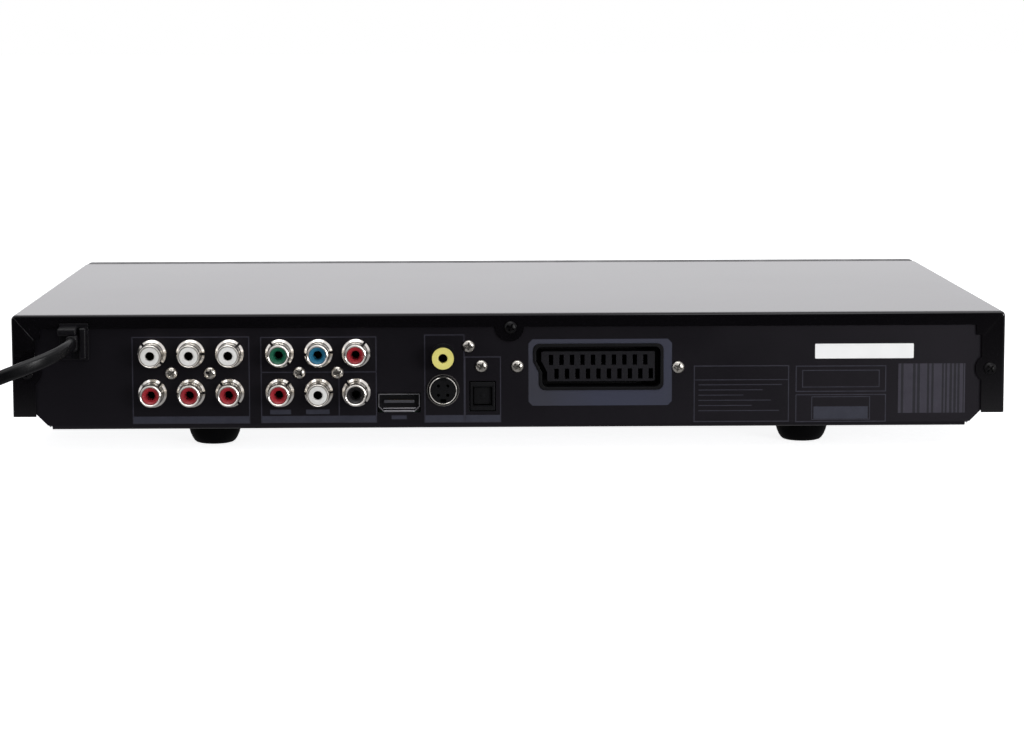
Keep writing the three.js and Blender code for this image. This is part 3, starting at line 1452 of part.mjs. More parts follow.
// The coil: wound inwards on the surface, up one layer at the reversal and outwards again
const coilCentre = new THREE.Vector3(coilCentreX, coilStart.y - coilOuter, 0);
const plugZ = plugThick / 2;
function coilRoute() {
  const route = [coilStart.clone().add(new THREE.Vector3(-cordWide, 0, 0))];
  const steps = Math.round(coilLoops * coilStepsPerLoop);
  for (let step = 0; step <= steps; step += 1) {
    const loop = coilLoops * step / steps;
    const fromReversal = loop - coilLoops / 2;
    const radius = coilOuter - coilPitch * (coilLoops / 2 - Math.abs(fromReversal));
    const climb = THREE.MathUtils.clamp(fromReversal * 2 + 0.5, 0, 1);
    const angle = Math.PI / 2 - 2 * Math.PI * loop;
    route.push(new THREE.Vector3(
      coilCentre.x + radius * Math.cos(angle),
      coilCentre.y + radius * Math.sin(angle),
      layerZ + coilLayer * (1 - Math.cos(Math.PI * climb)) / 2,
    ));
  }
  const end = route[route.length - 1];
  route.push(end.clone().add(new THREE.Vector3(0, -exitLevel, 0)));
  for (let step = 1; step <= exitSteps; step += 1) {
    const share = step / exitSteps;
    const drop = (plugZ - end.z) * (1 - Math.cos(Math.PI * share)) / 2;
    route.push(end.clone().add(new THREE.Vector3(0, -exitLevel - exitSlope * share, drop)));
  }
  route.push(end.clone().add(new THREE.Vector3(0, -exitLevel - exitSlope - cordWide, plugZ - end.z)));
  return route;
}
const coilPoints = coilRoute();

place('cord_coil', sweptCord(coilPoints, coilSides), rubberBlack, model);

// Least gap between turns, for the flat section's own half sizes along the line that joins two points
function leastGap(route) {
  let least = Infinity;
  const apart = Math.round(coilStepsPerLoop / 2);
  for (let i = 0; i < route.length; i += 1) {
    for (let j = i + apart; j < route.length; j += 1) {
      const between = route[j].clone().sub(route[i]);
      const level = Math.hypot(between.x, between.y);
      const reach = Math.hypot(level / cordThick, between.z / cordWide);
      least = Math.min(least, between.length() * (1 - 1 / reach));
    }
  }
  return least;
}
console.log(`cord_coil least gap to itself: ${leastGap(coilPoints).toFixed(2)} mm`);

function routeLength(route) {
  return route.slice(1).reduce((sum, point, index) => sum + point.distanceTo(route[index]), 0);
}
const cordLength = leadCurve.getLength() + routeLength(coilPoints);
console.log(`mains lead length: ${cordLength.toFixed(0)} mm`);

// Mains plug: flat two-pin plug beside the coil
function mainsPlug() {
  const shape = outline([
    [-plugNeckWidth / 2, 0], [-plugWidth / 2, -plugLength / 3], [-plugWidth / 2, -plugLength],
    [plugWidth / 2, -plugLength], [plugWidth / 2, -plugLength / 3], [plugNeckWidth / 2, 0],
  ]);
  const added = [new THREE.ExtrudeGeometry(shape, {
    depth: plugThick - 2 * plugEdge,
    bevelEnabled: true,
    bevelSize: plugEdge,
    bevelThickness: plugEdge,
    bevelOffset: -plugEdge,
    bevelSegments: 1,
  }).translate(0, 0, plugEdge)];
  for (const side of [-1, 1]) {
    added.push(rodAlongY(side * plugPinSpread / 2, plugZ, plugPinRadius, -plugLength - plugPinLength,
      -plugLength + fit, plugPinSides));
  }
  return carve(added);
}
const cordEnd = coilPoints[coilPoints.length - 1];
place('mains_plug', mainsPlug(), rubberBlack, model).position.set(cordEnd.x, cordEnd.y - fit, 0);

export default model;
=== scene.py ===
import json
import math

import bmesh
import bpy
from mathutils import Matrix, Vector

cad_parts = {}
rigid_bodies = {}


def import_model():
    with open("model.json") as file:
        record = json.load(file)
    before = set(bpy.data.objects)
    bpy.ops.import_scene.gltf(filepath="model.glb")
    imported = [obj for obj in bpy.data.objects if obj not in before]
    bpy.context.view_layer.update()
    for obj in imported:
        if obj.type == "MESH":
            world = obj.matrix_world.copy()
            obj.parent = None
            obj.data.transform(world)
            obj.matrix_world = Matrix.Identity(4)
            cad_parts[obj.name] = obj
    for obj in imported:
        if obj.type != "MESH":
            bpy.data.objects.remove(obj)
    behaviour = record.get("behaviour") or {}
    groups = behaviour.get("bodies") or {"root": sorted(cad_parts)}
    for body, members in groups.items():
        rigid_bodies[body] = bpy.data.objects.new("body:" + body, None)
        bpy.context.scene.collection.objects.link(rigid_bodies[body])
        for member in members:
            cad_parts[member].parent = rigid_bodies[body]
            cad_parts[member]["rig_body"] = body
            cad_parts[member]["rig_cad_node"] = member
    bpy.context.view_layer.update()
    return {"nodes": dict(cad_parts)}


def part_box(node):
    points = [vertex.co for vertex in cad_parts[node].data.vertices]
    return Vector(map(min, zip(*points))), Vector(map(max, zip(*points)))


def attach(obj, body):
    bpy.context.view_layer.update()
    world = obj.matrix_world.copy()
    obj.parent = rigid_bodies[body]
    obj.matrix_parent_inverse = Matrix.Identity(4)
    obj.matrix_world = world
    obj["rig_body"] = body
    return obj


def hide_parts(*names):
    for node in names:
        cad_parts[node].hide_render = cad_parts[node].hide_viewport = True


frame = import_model()

# Camera: a long lens a little over a metre behind the player, level with a seated person's eyes.
# The four corners of the steel top and the pitch of the phono sockets fix its place and its turn.
camera_yaw, camera_pitch, camera_roll = -0.01744, 0.12271, -0.00263
ahead = Vector((
    math.sin(camera_yaw) * math.cos(camera_pitch),
    -math.cos(camera_yaw) * math.cos(camera_pitch),
    -math.sin(camera_pitch),
))
level = Vector((-math.cos(camera_yaw), -math.sin(camera_yaw), 0))
above = level.cross(ahead)
rightward = level * math.cos(camera_roll) + above * math.sin(camera_roll)
upward = above * math.cos(camera_roll) - level * math.sin(camera_roll)
bpy.ops.object.camera_add(location=(0.01769, 1.1666, 0.16247))
camera = bpy.context.object
camera.matrix_world = Matrix.Translation(camera.location) @ Matrix(
    (rightward, upward, -ahead)).transposed().to_4x4()
camera.data.sensor_width = 36
camera.data.lens = 2947.1 * 36 / 1024
camera.data.clip_end = 50
bpy.context.scene.camera = camera
bpy.context.scene.view_settings.view_transform = "Standard"


# Studio: a white paper sweep, white card behind the player and three soft boxes.
# The room is dark behind the camera: the card shows in the top and in curved metal, not in flat black faces.
def colour(code):
    """An sRGB hex code as the linear colour that shaders use."""
    shares = [int(code[place:place + 2], 16) / 255 for place in (0, 2, 4)]
    return [*(s / 12.92 if s <= 0.04045 else ((s + 0.055) / 1.055) ** 2.4 for s in shares), 1]


def add_node(owner, kind, links=None, **settings):
    """Adds one shader node with its settings, and fills or links its inputs."""
    node = owner.node_tree.nodes.new("ShaderNode" + kind)
    for name, value in settings.items():
        setattr(node, name, value)
    for socket, value in (links or {}).items():
        if isinstance(value, bpy.types.NodeSocket):
            owner.node_tree.links.new(value, node.inputs[socket])
        else:
            node.inputs[socket].default_value = value
    return node


def room_level(owner, coordinate, origin, near, far):
    """How bright mirrors see the room that way: near is the level behind the camera, far the card's."""
    dark_way, narrowing, dark_until, bright_from = (0.12, 0.988, -0.1), (0.45, 1, 1.8), 0.95, 0.66
    place = add_node(owner, "TexCoord").outputs[coordinate]
    way = add_node(owner, "VectorMath", {0: place, 1: origin}, operation="SUBTRACT")
    wide = add_node(owner, "VectorMath", {0: way.outputs[0], 1: narrowing}, operation="MULTIPLY")
    unit = add_node(owner, "VectorMath", {0: wide.outputs[0]}, operation="NORMALIZE")
    turn = add_node(owner, "VectorMath", {0: unit.outputs[0], 1: dark_way}, operation="DOT_PRODUCT")
    level = add_node(owner, "MapRange", {0: turn.outputs["Value"], 1: dark_until, 2: bright_from,
                                         3: near, 4: far})
    return level.outputs[0]


def backdrop(owner, camera_sees, mirrors_see, rest_sees):
    """One shader for rays from the camera, one for mirrors and one for all other light."""
    rays = add_node(owner, "LightPath")
    direct = add_node(owner, "Math", {0: rays.outputs["Is Camera Ray"],
                                      1: rays.outputs["Is Transmission Ray"]}, operation="MAXIMUM")
    indirect = add_node(owner, "MixShader", {0: rays.outputs["Is Glossy Ray"], 1: rest_sees.outputs[0],
                                             2: mirrors_see.outputs[0]})
    return add_node(owner, "MixShader", {0: direct.outputs[0], 1: indirect.outputs[0],
                                         2: camera_sees.outputs[0]}).outputs[0]


world = bpy.data.worlds.new("white_card")
bpy.context.scene.world = world
world.use_nodes = True
world.node_tree.nodes.clear()
dim = add_node(world, "Background", {"Color": colour("e9ebef"), "Strength": 0.42})
card = add_node(world, "Background", {"Color": colour("f6f5f8"),
                                      "Strength": room_level(world, "Generated", (0, 0, 0), 0.05, 1.0)})
white = add_node(world, "Background", {"Color": (1, 1, 1, 1), "Strength": 1.0})
add_node(world, "OutputWorld", {"Surface": backdrop(world, white, card, dim)})

bpy.ops.mesh.primitive_plane_add(size=16)
floor = bpy.context.object
floor.name = "paper_sweep"
paper = bpy.data.materials.new("white_paper")
paper.use_nodes = True
paper.node_tree.nodes.clear()
matt = add_node(paper, "BsdfDiffuse", {"Color": colour("f2f2f3")})
glow = add_node(paper, "Emission", {"Color": (1, 1, 1, 1), "Strength": 0.85})
both = add_node(paper, "AddShader", {0: matt.outputs[0], 1: glow.outputs[0]})
mirrored = add_node(paper, "Emission", {
    "Color": colour("f6f5f8"), "Strength": room_level(paper, "Object", (0, 0.105, 0.035), 0.03, 0.42)})
add_node(paper, "OutputMaterial", {"Surface": backdrop(paper, both, mirrored, matt)})
floor.data.materials.append(paper)

for name, place, aim, size, watts in [
    ("soft_box_above", (0.1, 0.35, 1.5), (0, 0, 0), 1.3, 11.0),
    ("soft_box_behind_camera", (-0.6, 1.8, 0.85), (-0.05, 0.1, 0.03), 0.9, 4.0),
    ("soft_box_beside", (-0.95, 1.3, 0.1), (-0.12, 0.1, 0.03), 0.5, 12.0),
]:
    bpy.ops.object.light_add(type="AREA", location=place)
    lamp = bpy.context.object
    lamp.name = name
    lamp.data.size = size
    lamp.data.energy = watts
    lamp.rotation_euler = (Vector(aim) - Vector(place)).to_track_quat("-Z", "Y").to_euler()

# Mains lead: a flat twin cord in black PVC that leaves the bushing, drops beside the player and is
# wound into a two-layer coil outside the picture. It stands on its narrow edge all along.
mm = 0.001
cord_wide, cord_thick = 5.0, 3.3
lead_start = Vector((157.4, 113.65, 41.1))
coil_centre_x, coil_radius, coil_loops, coil_pitch, coil_layer = 254, 30, 7.25, 4, 5.7
lead_out, lead_low, last_knot = 23, 2.6, 6.7
lead_run = coil_centre_x - lead_start.x - last_knot
lead_shares = [
    (0, 0, 0), (0, 0.217, 0.004), (0.013, 0.435, 0.026), (0.045, 0.643, 0.063), (0.095, 0.809, 0.109),
    (0.157, 0.922, 0.162), (0.228, 0.983, 0.222), (0.303, 1, 0.292), (0.381, 1, 0.387),
    (0.458, 1, 0.516), (0.535, 1, 0.662), (0.617, 1, 0.808), (0.705, 1, 0.92), (0.796, 1, 0.982),
    (0.892, 1, 0.999), (1, 1, 1),
]
lead_drop = lead_start.z - lead_low
knots = [lead_start + Vector((run * lead_run, out * lead_out, -drop * lead_drop))
         for run, out, drop in lead_shares]
coil_start = Vector((coil_centre_x, lead_start.y + lead_out, lead_low))
knots.append(coil_start - Vector((cord_wide + 0.3, 0, 0)))


def smooth_span(before, start, end, after, steps):
    """Points of a centripetal spline from start up to end."""
    first, middle, last = ((b - a).length ** 0.5 for a, b in ((before, start), (start, end), (end, after)))
    pull = ((start - before) / first - (end - before) / (first + middle) + (end - start) / middle) * middle
    push = ((end - start) / middle - (after - start) / (middle + last) + (after - end) / last) * middle
    for step in range(steps):
        t = step / steps
        yield (start + pull * t + (-3 * start + 3 * end - 2 * pull - push) * t ** 2
               + (2 * start - 2 * end + pull + push) * t ** 3)


ends = [2 * knots[0] - knots[1], *knots, 2 * knots[-1] - knots[-2]]
route = [point for place in range(len(knots) - 1) for point in smooth_span(*ends[place:place + 4], 7)]
coil_outer = coil_radius + coil_pitch * coil_loops / 4
coil_centre = Vector((coil_centre_x, coil_start.y - coil_outer, 0))
turn_steps = 40
for step in range(round(coil_loops * turn_steps) + 1):
    loop = step / turn_steps
    inward = loop - coil_loops / 2
    radius = coil_outer - coil_pitch * (coil_loops / 2 - abs(inward))
    climb = min(max(inward * 2 + 0.5, 0), 1)
    angle = math.pi / 2 - 2 * math.pi * loop
    route.append(Vector((
        coil_centre.x + radius * math.cos(angle), coil_centre.y + radius * math.sin(angle),
        lead_low + coil_layer * (1 - math.cos(math.pi * climb)) / 2,
    )))
coil_end = route[-1]
plug_thick, tail_straight, tail_bend, tail_steps = 13.7, 18, 20, 8
plug_level = plug_thick / 2
for step in range(tail_steps + 1):
    share = step / tail_steps
    route.append(coil_end + Vector((
        0, -tail_straight - tail_bend * share,
        (plug_level - coil_end.z) * (1 - math.cos(math.pi * share)) / 2)))
route.append(coil_end + Vector((0, -tail_straight - tail_bend - cord_wide, plug_level - coil_end.z)))

section_sides = 20
rings, skins = [], []
for place, point in enumerate(route):
    along = (route[min(place + 1, len(route) - 1)] - route[max(place - 1, 0)]).normalized()
    across = along.cross(Vector((0, 0, 1))).normalized()
    upward = across.cross(along)
    for side in range(section_sides):
        angle = 2 * math.pi * (side + 0.5) / section_sides
        # the sheath is flat between its two round edges
        flat = math.copysign((cord_wide - cord_thick) / 2, math.sin(angle))
        rings.append((point + across * cord_thick / 2 * math.cos(angle)
                      + upward * (flat + cord_thick / 2 * math.sin(angle))) * mm)
for place in range(len(route) - 1):
    for side in range(section_sides):
        a, b = place * section_sides + side, place * section_sides + (side + 1) % section_sides
        skins.append((a, a + section_sides, b + section_sides, b))
skins.append(tuple(range(section_sides)))
skins.append(tuple(reversed(range(len(rings) - section_sides, len(rings)))))
lead_mesh = bpy.data.meshes.new("mains_lead")
lead_mesh.from_pydata(rings, [], skins)
mains_lead = bpy.data.objects.new("mains_lead", lead_mesh)
bpy.context.scene.collection.objects.link(mains_lead)


def only(piece):
    """Makes one piece the active one and the only one selected."""
    bpy.ops.object.select_all(action="DESELECT")
    piece.select_set(True)
    bpy.context.view_layer.objects.active = piece


def smoothed(piece, angle=32):
    """Smooths curves up to that angle, and keeps the flat faces beside them flat."""
    only(piece)
    bpy.ops.object.shade_smooth_by_angle(angle=math.radians(angle))
    flattened = piece.modifiers.new("flat_faces", "WEIGHTED_NORMAL")
    flattened.keep_sharp = True
    bpy.ops.object.modifier_apply(modifier="flat_faces")


def fit(piece, name, body, finish, smooth=32):
    """Names a piece, settles its place in its mesh, smooths its curves and fixes it to its body."""
    only(piece)
    bpy.ops.object.transform_apply(location=True, rotation=True, scale=True)
    smoothed(piece, smooth)
    piece.name = piece.data.name = name
    piece.data.materials.clear()
    piece.data.materials.append(finish)
    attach(piece, body)
    return piece


def surface(name, base, shade, roughness, grain, depth, patches=9.0, spread=0.07, stretch=(1, 1, 1),
            **shader):
    """A finish with a fine relief of that grain and depth, in mm, and slow patches of shade and gloss."""
    finish = bpy.data.materials.new(name)
    finish.use_nodes = True
    place = add_node(finish, "TexCoord").outputs["Object"]
    turned_place = add_node(finish, "Mapping", {"Vector": place, "Scale": stretch}).outputs[0]
    patch = add_node(finish, "TexNoise", {"Vector": place, "Scale": 1 / (patches * mm), "Detail": 3})
    fine = add_node(finish, "TexNoise", {"Vector": turned_place, "Scale": 1 / (grain * mm), "Detail": 2})
    tint = add_node(finish, "MapRange", {0: patch.outputs[0], 1: 0.3, 2: 0.7})
    mixed = add_node(finish, "Mix", {0: tint.outputs[0], 6: colour(base), 7: colour(shade)},
                     data_type="RGBA")
    gloss = add_node(finish, "MapRange", {0: patch.outputs[0], 1: 0.3, 2: 0.7, 3: roughness - spread,
                                          4: roughness + spread})
    relief = add_node(finish, "Bump", {"Height": fine.outputs[0], "Distance": depth * mm,
                                       "Strength": 1.0})
    shading = finish.node_tree.nodes["Principled BSDF"]
    for socket, value in (("Base Color", mixed.outputs[2]), ("Roughness", gloss.outputs[0]),
                          ("Normal", relief.outputs[0])):
        finish.node_tree.links.new(value, shading.inputs[socket])
    for socket, value in shader.items():
        shading.inputs[socket].default_value = value
    return finish


# soft PVC, extruded: near black, smooth from the die, with a faint sheen along the cord
cord_pvc = surface("black_pvc", "0a0a0c", "08080a", 0.28, 0.5, 0.004, **{"Specular IOR Level": 0.2})
fit(mains_lead, "mains_lead", "player", cord_pvc, smooth=60)
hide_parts("cord_lead", "cord_coil")


# Mains plug: a flat two-pin plug moulded on the cord, waisted for the fingers, with ribs that grip.
# The pins are nickelled brass with black sleeves over the half nearer the body.
def turned(profile, centre, sides=48, upright=False):
    """Turns a profile of radius and distance along its axis: a ring is added, then drawn out and resized."""
    axis = Vector((0, 0, 1)) if upright else Vector((0, 1, 0))
    tip = (0, 0, 0) if upright else (-math.pi / 2, 0, 0)
    centre = Vector(centre)
    radius, out = profile[0]
    bpy.ops.mesh.primitive_circle_add(vertices=sides, radius=radius * mm, rotation=tip,
                                      location=(centre + axis * out) * mm)
    piece = bpy.context.object
    bpy.ops.object.mode_set(mode="EDIT")
    bpy.ops.mesh.select_mode(type="VERT")
    bpy.ops.mesh.select_all(action="SELECT")
    for next_radius, next_out in profile[1:]:
        share = next_radius / radius
        bpy.ops.mesh.extrude_region_move()
        bpy.ops.transform.resize(value=(share,) * 3, center_override=(centre + axis * out) * mm)
        bpy.ops.transform.translate(value=axis * (next_out - out) * mm)
        radius, out = next_radius, next_out
    bpy.ops.mesh.select_all(action="SELECT")
    bpy.ops.mesh.remove_doubles(threshold=0.004 * mm)
    bpy.ops.mesh.normals_make_consistent(inside=False)
    bpy.ops.object.mode_set(mode="OBJECT")
    return piece


def break_edges(piece, width, steps=2, angle=30):
    """Rounds the edges of a piece that are sharper than that angle."""
    only(piece)
    rounding = piece.modifiers.new("edge", "BEVEL")
    rounding.width, rounding.segments = width * mm, steps
    rounding.limit_method, rounding.angle_limit = "ANGLE", math.radians(angle)
    bpy.ops.object.modifier_apply(modifier="edge")


def block(x0, x1, y0, y1, z0, z1, edge=0.3, steps=2):
    """A block between six faces, with its edges broken."""
    bpy.ops.mesh.primitive_cube_add(
        size=1, location=((x0 + x1) / 2 * mm, (y0 + y1) / 2 * mm, (z0 + z1) / 2 * mm),
        scale=(abs(x1 - x0) * mm, abs(y1 - y0) * mm, abs(z1 - z0) * mm))
    piece = bpy.context.object
    bpy.ops.object.transform_apply(location=True, rotation=True, scale=True)
    if edge:
        break_edges(piece, edge, steps)
    return piece


def slot_cutter(x0, x1, y0, y1, z0, z1, angle, place):
    """A plain block at the origin, turned about Y and moved to its place."""
    piece = block(x0, x1, y0, y1, z0, z1, edge=0)
    only(piece)
    bpy.ops.transform.rotate(value=angle, orient_axis="Y", center_override=(0, 0, 0))
    bpy.ops.transform.translate(value=[part * mm for part in place])
    bpy.ops.object.transform_apply(location=True, rotation=True, scale=True)
    return piece


def joined(pieces):
    """Joins pieces into the first one."""
    only(pieces[0])
    for piece in pieces:
        piece.select_set(True)
    bpy.ops.object.join()
    return pieces[0]


def cut(piece, *cutters):
    """Cuts shapes out of a piece and throws them away."""
    for cutter in cutters:
        only(piece)
        cutting = piece.modifiers.new("cut", "BOOLEAN")
        cutting.object, cutting.solver, cutting.operation = cutter, "EXACT", "DIFFERENCE"
        bpy.ops.object.modifier_apply(modifier="cut")
        bpy.data.objects.remove(cutter)
    return piece


plug_x, plug_end = coil_end.x, route[-1].y - 0.3
plug_wide, plug_shoulder, neck_long, pin_offset = 22.5, 25.5, 12, 9.5
bpy.ops.mesh.primitive_cube_add(
    size=1, location=(plug_x * mm, (plug_end - neck_long / 2) * mm, plug_level * mm),
    scale=(plug_wide * mm, neck_long * mm, plug_thick * mm))
plug_body = bpy.context.object
bpy.ops.object.transform_apply(location=True, rotation=True, scale=True)


def choose(piece, test):
    """Selects the faces of a piece in edit mode whose middle and normal pass a test."""
    if bpy.context.mode == "OBJECT":
        only(piece)
        bpy.ops.object.mode_set(mode="EDIT")
    bpy.ops.mesh.select_mode(type="FACE")
    shape = bmesh.from_edit_mesh(piece.data)
    for face in shape.faces:
        face.select_set(test(face.calc_center_median() / mm, face.normal))
    bmesh.update_edit_mesh(piece.data)


choose(plug_body, lambda middle, normal: normal.y > 0.5)
bpy.ops.transform.resize(value=(0.4, 1, 0.7))
choose(plug_body, lambda middle, normal: normal.y < -0.5)
for length, widening in ((12, 1.0), (4, plug_shoulder / plug_wide), (8, 1.0)):
    bpy.ops.mesh.extrude_region_move(TRANSFORM_OT_translate={"value": (0, -length * mm, 0)})
    bpy.ops.transform.resize(value=(widening, 1, 1))
bpy.ops.object.mode_set(mode="OBJECT")
break_edges(plug_body, 1.8, 3)
plug_parts = [plug_body]
for rib in range(4):
    rib_y = plug_end - 14.5 - rib * 2.6
    for low, high in ((0.05, 0.6), (plug_thick - 0.6, plug_thick - 0.05)):
        plug_parts.append(block(plug_x - 7.5, plug_x + 7.5, rib_y - 0.6, rib_y + 0.6, low, high, edge=0.2))
for side in (-1, 1):
    plug_parts.append(turned(
        [(0.01, -36.5), (2, -36.5), (2, -46), (1.9, -46.2), (0.01, -46.2)],
        (plug_x + side * pin_offset, plug_end, plug_level), sides=24))
plug_parts.append(turned(
    [(0.01, -1), (4.6, -1), (4.4, -0.3), (3.4, 0.25), (0.01, 0.25)], (plug_x, plug_end, plug_level)))
plug_body = joined(plug_parts)
fit(plug_body, "mains_plug_body", "player", cord_pvc)
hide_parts("mains_plug")
# bright nickel plate on turned pins: mirror-like with a soft haze
nickel_bright = surface("bright_nickel_plate", "c9c4bb", "b3aea6", 0.2, 0.35, 0.004, spread=0.05,
                        Metallic=1.0)
plug_pins = joined([
    turned([(0.01, -46), (1.95, -46), (1.95, -53.4), (1.6, -54.5), (0.9, -54.95), (0.01, -54.98)],
           (plug_x + side * pin_offset, plug_end, plug_level), sides=24) for side in (-1, 1)])
fit(plug_pins, "mains_plug_pins", "player", nickel_bright)

# Cord tie: a flat strap of black vinyl film over wire, closed round the coil with a twisted end.
# The film is dull and wrinkles at each twist.
strap_x, strap_y = coil_centre.x, coil_centre.y
strap = block(strap_x - 39.6, strap_x - 20.6, strap_y - 2.2, strap_y + 2.2, 0.03, 11.4, edge=0)
choose(strap, lambda middle, normal: abs(normal.y) > 0.5)
bpy.ops.mesh.delete(type="FACE")
bpy.ops.mesh.select_mode(type="VERT")
bpy.ops.object.mode_set(mode="OBJECT")
break_edges(strap, 2.4, 4)
walled = strap.modifiers.new("wall", "SOLIDIFY")
walled.thickness, walled.offset = 0.45 * mm, -1
bpy.ops.object.modifier_apply(modifier="wall")
twist_parts = [strap]
for turn in range(7):
    twist = block(strap_x - 31, strap_x - 29, strap_y + 2 + turn * 1.1, strap_y + 3.4 + turn * 1.1,
                  11, 11.8, edge=0.2)
    only(twist)
    bpy.ops.transform.rotate(value=0.5 * turn, orient_axis="Y", center_override=(
        (strap_x - 30) * mm, (strap_y + 2.6 + turn * 1.1) * mm, 11.4 * mm))
    twist_parts.append(twist)
strap = joined(twist_parts)
vinyl = surface("vinyl_tie", "161618", "101012", 0.45, 0.8, 0.02, **{"Specular IOR Level": 0.3})
fit(strap, "cord_tie", "player", vinyl)


# Chassis: a pan of zinc-plated steel sheet with folded flanks, pressed posts and a field of vent slots.
# Rolled sheet has fine lines along its length, and the plating gives it a cold grey bloom.
def machined(node, finish, edge=0.15, smooth=32):
    """Stands a merged copy of a CAD solid in its place, with its edges broken and its curves smoothed."""
    source = frame["nodes"][node]
    piece = source.copy()
    piece.data = source.data.copy()
    piece.parent = None
    piece.matrix_world = Matrix.Identity(4)
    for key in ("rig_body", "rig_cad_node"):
        del piece[key]
    bpy.context.scene.collection.objects.link(piece)
    only(piece)
    bpy.ops.object.mode_set(mode="EDIT")
    bpy.ops.mesh.select_all(action="SELECT")
    bpy.ops.mesh.remove_doubles(threshold=0.0002 * mm)
    bpy.ops.mesh.dissolve_limited(angle_limit=math.radians(0.3))
    bpy.ops.object.mode_set(mode="OBJECT")
    if edge:
        break_edges(piece, edge, angle=35)
    fit(piece, node + "_finished", source["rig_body"], finish, smooth)
    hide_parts(node)
    return piece


zinc_sheet = surface("zinc_plated_sheet", "97999d", "8a8c90", 0.38, 0.5, 0.006, patches=14,
                     spread=0.03, stretch=(0.12, 1, 1), Metallic=1.0)
machined("chassis_base", zinc_sheet, edge=0.15)

# Feet: moulded in hard black rubber, each held by a zinc screw up its recess.
# The rubber is dead matt, so that the feet sink into their own shadow.
foot_rubber = surface("hard_black_rubber", "050506", "040405", 0.6, 0.4, 0.02,
                      **{"Specular IOR Level": 0.05})
floor_gap = 8.8
# zinc plate on steel screws: bright, with a grey bloom where the driver has rubbed
silver_screw = surface("zinc_screw", "cfcbc4", "a29e97", 0.26, 0.3, 0.004, patches=1.5, spread=0.1,
                       Metallic=1.0)
for node, (x, y) in {
    "foot_front_left": (-109.5, -83.55), "foot_front_right": (109.5, -83.55),
    "foot_rear_left": (-109.5, 76.45), "foot_rear_right": (109.5, 76.45),
}.items():
    puck = turned([
        (0.01, 8.5), (9.5, 8.5), (9.8, 8.2), (9.8, 6.4), (9.6, 5.4), (9.1, 3.6), (8.4, 2.0), (7.6, 0.8),
        (6.9, 0.25), (6.1, 0), (2.9, 0), (2.6, 0.3), (2.6, 5.2), (0.01, 5.2),
    ], (x, y, 0), sides=56, upright=True)
    fit(puck, node + "_puck", "player", foot_rubber)
    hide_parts(node)
    head = turned([(0.01, 5.4), (0.9, 5.2), (1.9, 4.5), (2.2, 4.0), (2.1, 3.9), (0.9, 3.6), (0.01, 3.5)],
                  (x, y, 0), sides=24, upright=True)
    fit(head, node + "_screw", "player", silver_screw)

# Boards: green solder-masked laminate, with the tallest components soldered on.
# The mask is glossy over rows of straight tracks, and the components' epoxy casings are dull and black.
laminate = surface("solder_masked_laminate", "1f5a35", "17462a", 0.32, 1.2, 0.02, patches=4)
tracks = add_node(laminate, "TexBrick", {
    "Vector": add_node(laminate, "TexCoord").outputs["Object"], "Color1": colour("1f5a38"),
    "Color2": colour("1a4d2f"), "Mortar": colour("123f25"), "Scale": 500.0, "Mortar Size": 0.08,
    "Brick Width": 11.0, "Row Height": 0.5,
})
laminate.node_tree.links.new(tracks.outputs["Color"],
                             laminate.node_tree.nodes["Principled BSDF"].inputs["Base Color"])
machined("front_board", laminate, edge=0.1)
epoxy = surface("black_epoxy_casing", "1a1a1c", "141416", 0.45, 0.3, 0.01)
board_wall = 1.6
for node in ("main_board", "power_board"):
    board = machined(node, laminate, edge=0.1)
    board_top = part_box(node)[0].z / mm + board_wall
    choose(board, lambda middle, normal: middle.z > board_top + 0.05)
    bpy.ops.mesh.separate(type="SELECTED")
    bpy.ops.object.mode_set(mode="OBJECT")
    components = next(piece for piece in bpy.context.selected_objects if piece != board)
    for key in list(components.keys()):
        del components[key]
    fit(components, node + "_components", "player", epoxy)

# Loader: a grey ABS moulding with the deck for the gears, two rails for the tray and the traverse's cheeks.
# The gears and the slider are white acetal, which is waxy, the belt is dull ground neoprene, the rods and the
# plates are steel with a bright or grey plating, and the pickup's glass-filled body is chalky.
grey_moulding = surface("grey_abs_moulding", "4a4b4f", "3f4044", 0.42, 0.35, 0.015)
acetal = surface("white_acetal", "dcdad2", "cfccc2", 0.36, 0.6, 0.01, **{"Subsurface Weight": 0.1})
neoprene = surface("ground_neoprene", "1b1b1c", "131314", 0.62, 0.25, 0.02)
plated_steel = surface("plated_steel", "a7a9ac", "9c9ea1", 0.27, 0.5, 0.004, stretch=(1, 0.15, 1),
                       spread=0.03, Metallic=1.0)
turned_brass = surface("turned_brass", "b59552", "a1823f", 0.25, 0.2, 0.006, Metallic=1.0)
black_glass_filled = surface("glass_filled_black", "1a191d", "141317", 0.46, 0.3, 0.012,
                             **{"Specular IOR Level": 0.15})
for node, finish, edge in [
    ("loader_frame", grey_moulding, 0.3), ("loading_motor", plated_steel, 0.2),
    ("motor_pulley", turned_brass, 0.1), ("pulley_gear", acetal, 0.08), ("tray_gear", acetal, 0.08),
    ("drive_belt", neoprene, 0.15), ("cam_slider", acetal, 0.2), ("clamp_bridge", zinc_sheet, 0.2),
    ("disc_clamper", acetal, 0.25), ("traverse_plate", plated_steel, 0.15),
    ("spindle_motor", plated_steel, 0.25), ("turntable", black_glass_filled, 0.2),
    ("guide_rod_left", plated_steel, 0.2), ("guide_rod_right", plated_steel, 0.2),
    ("optical_pickup", black_glass_filled, 0.25), ("sled_motor", plated_steel, 0.3),
    ("sled_screw", plated_steel, 0.1),
]:
    machined(node, finish, edge)

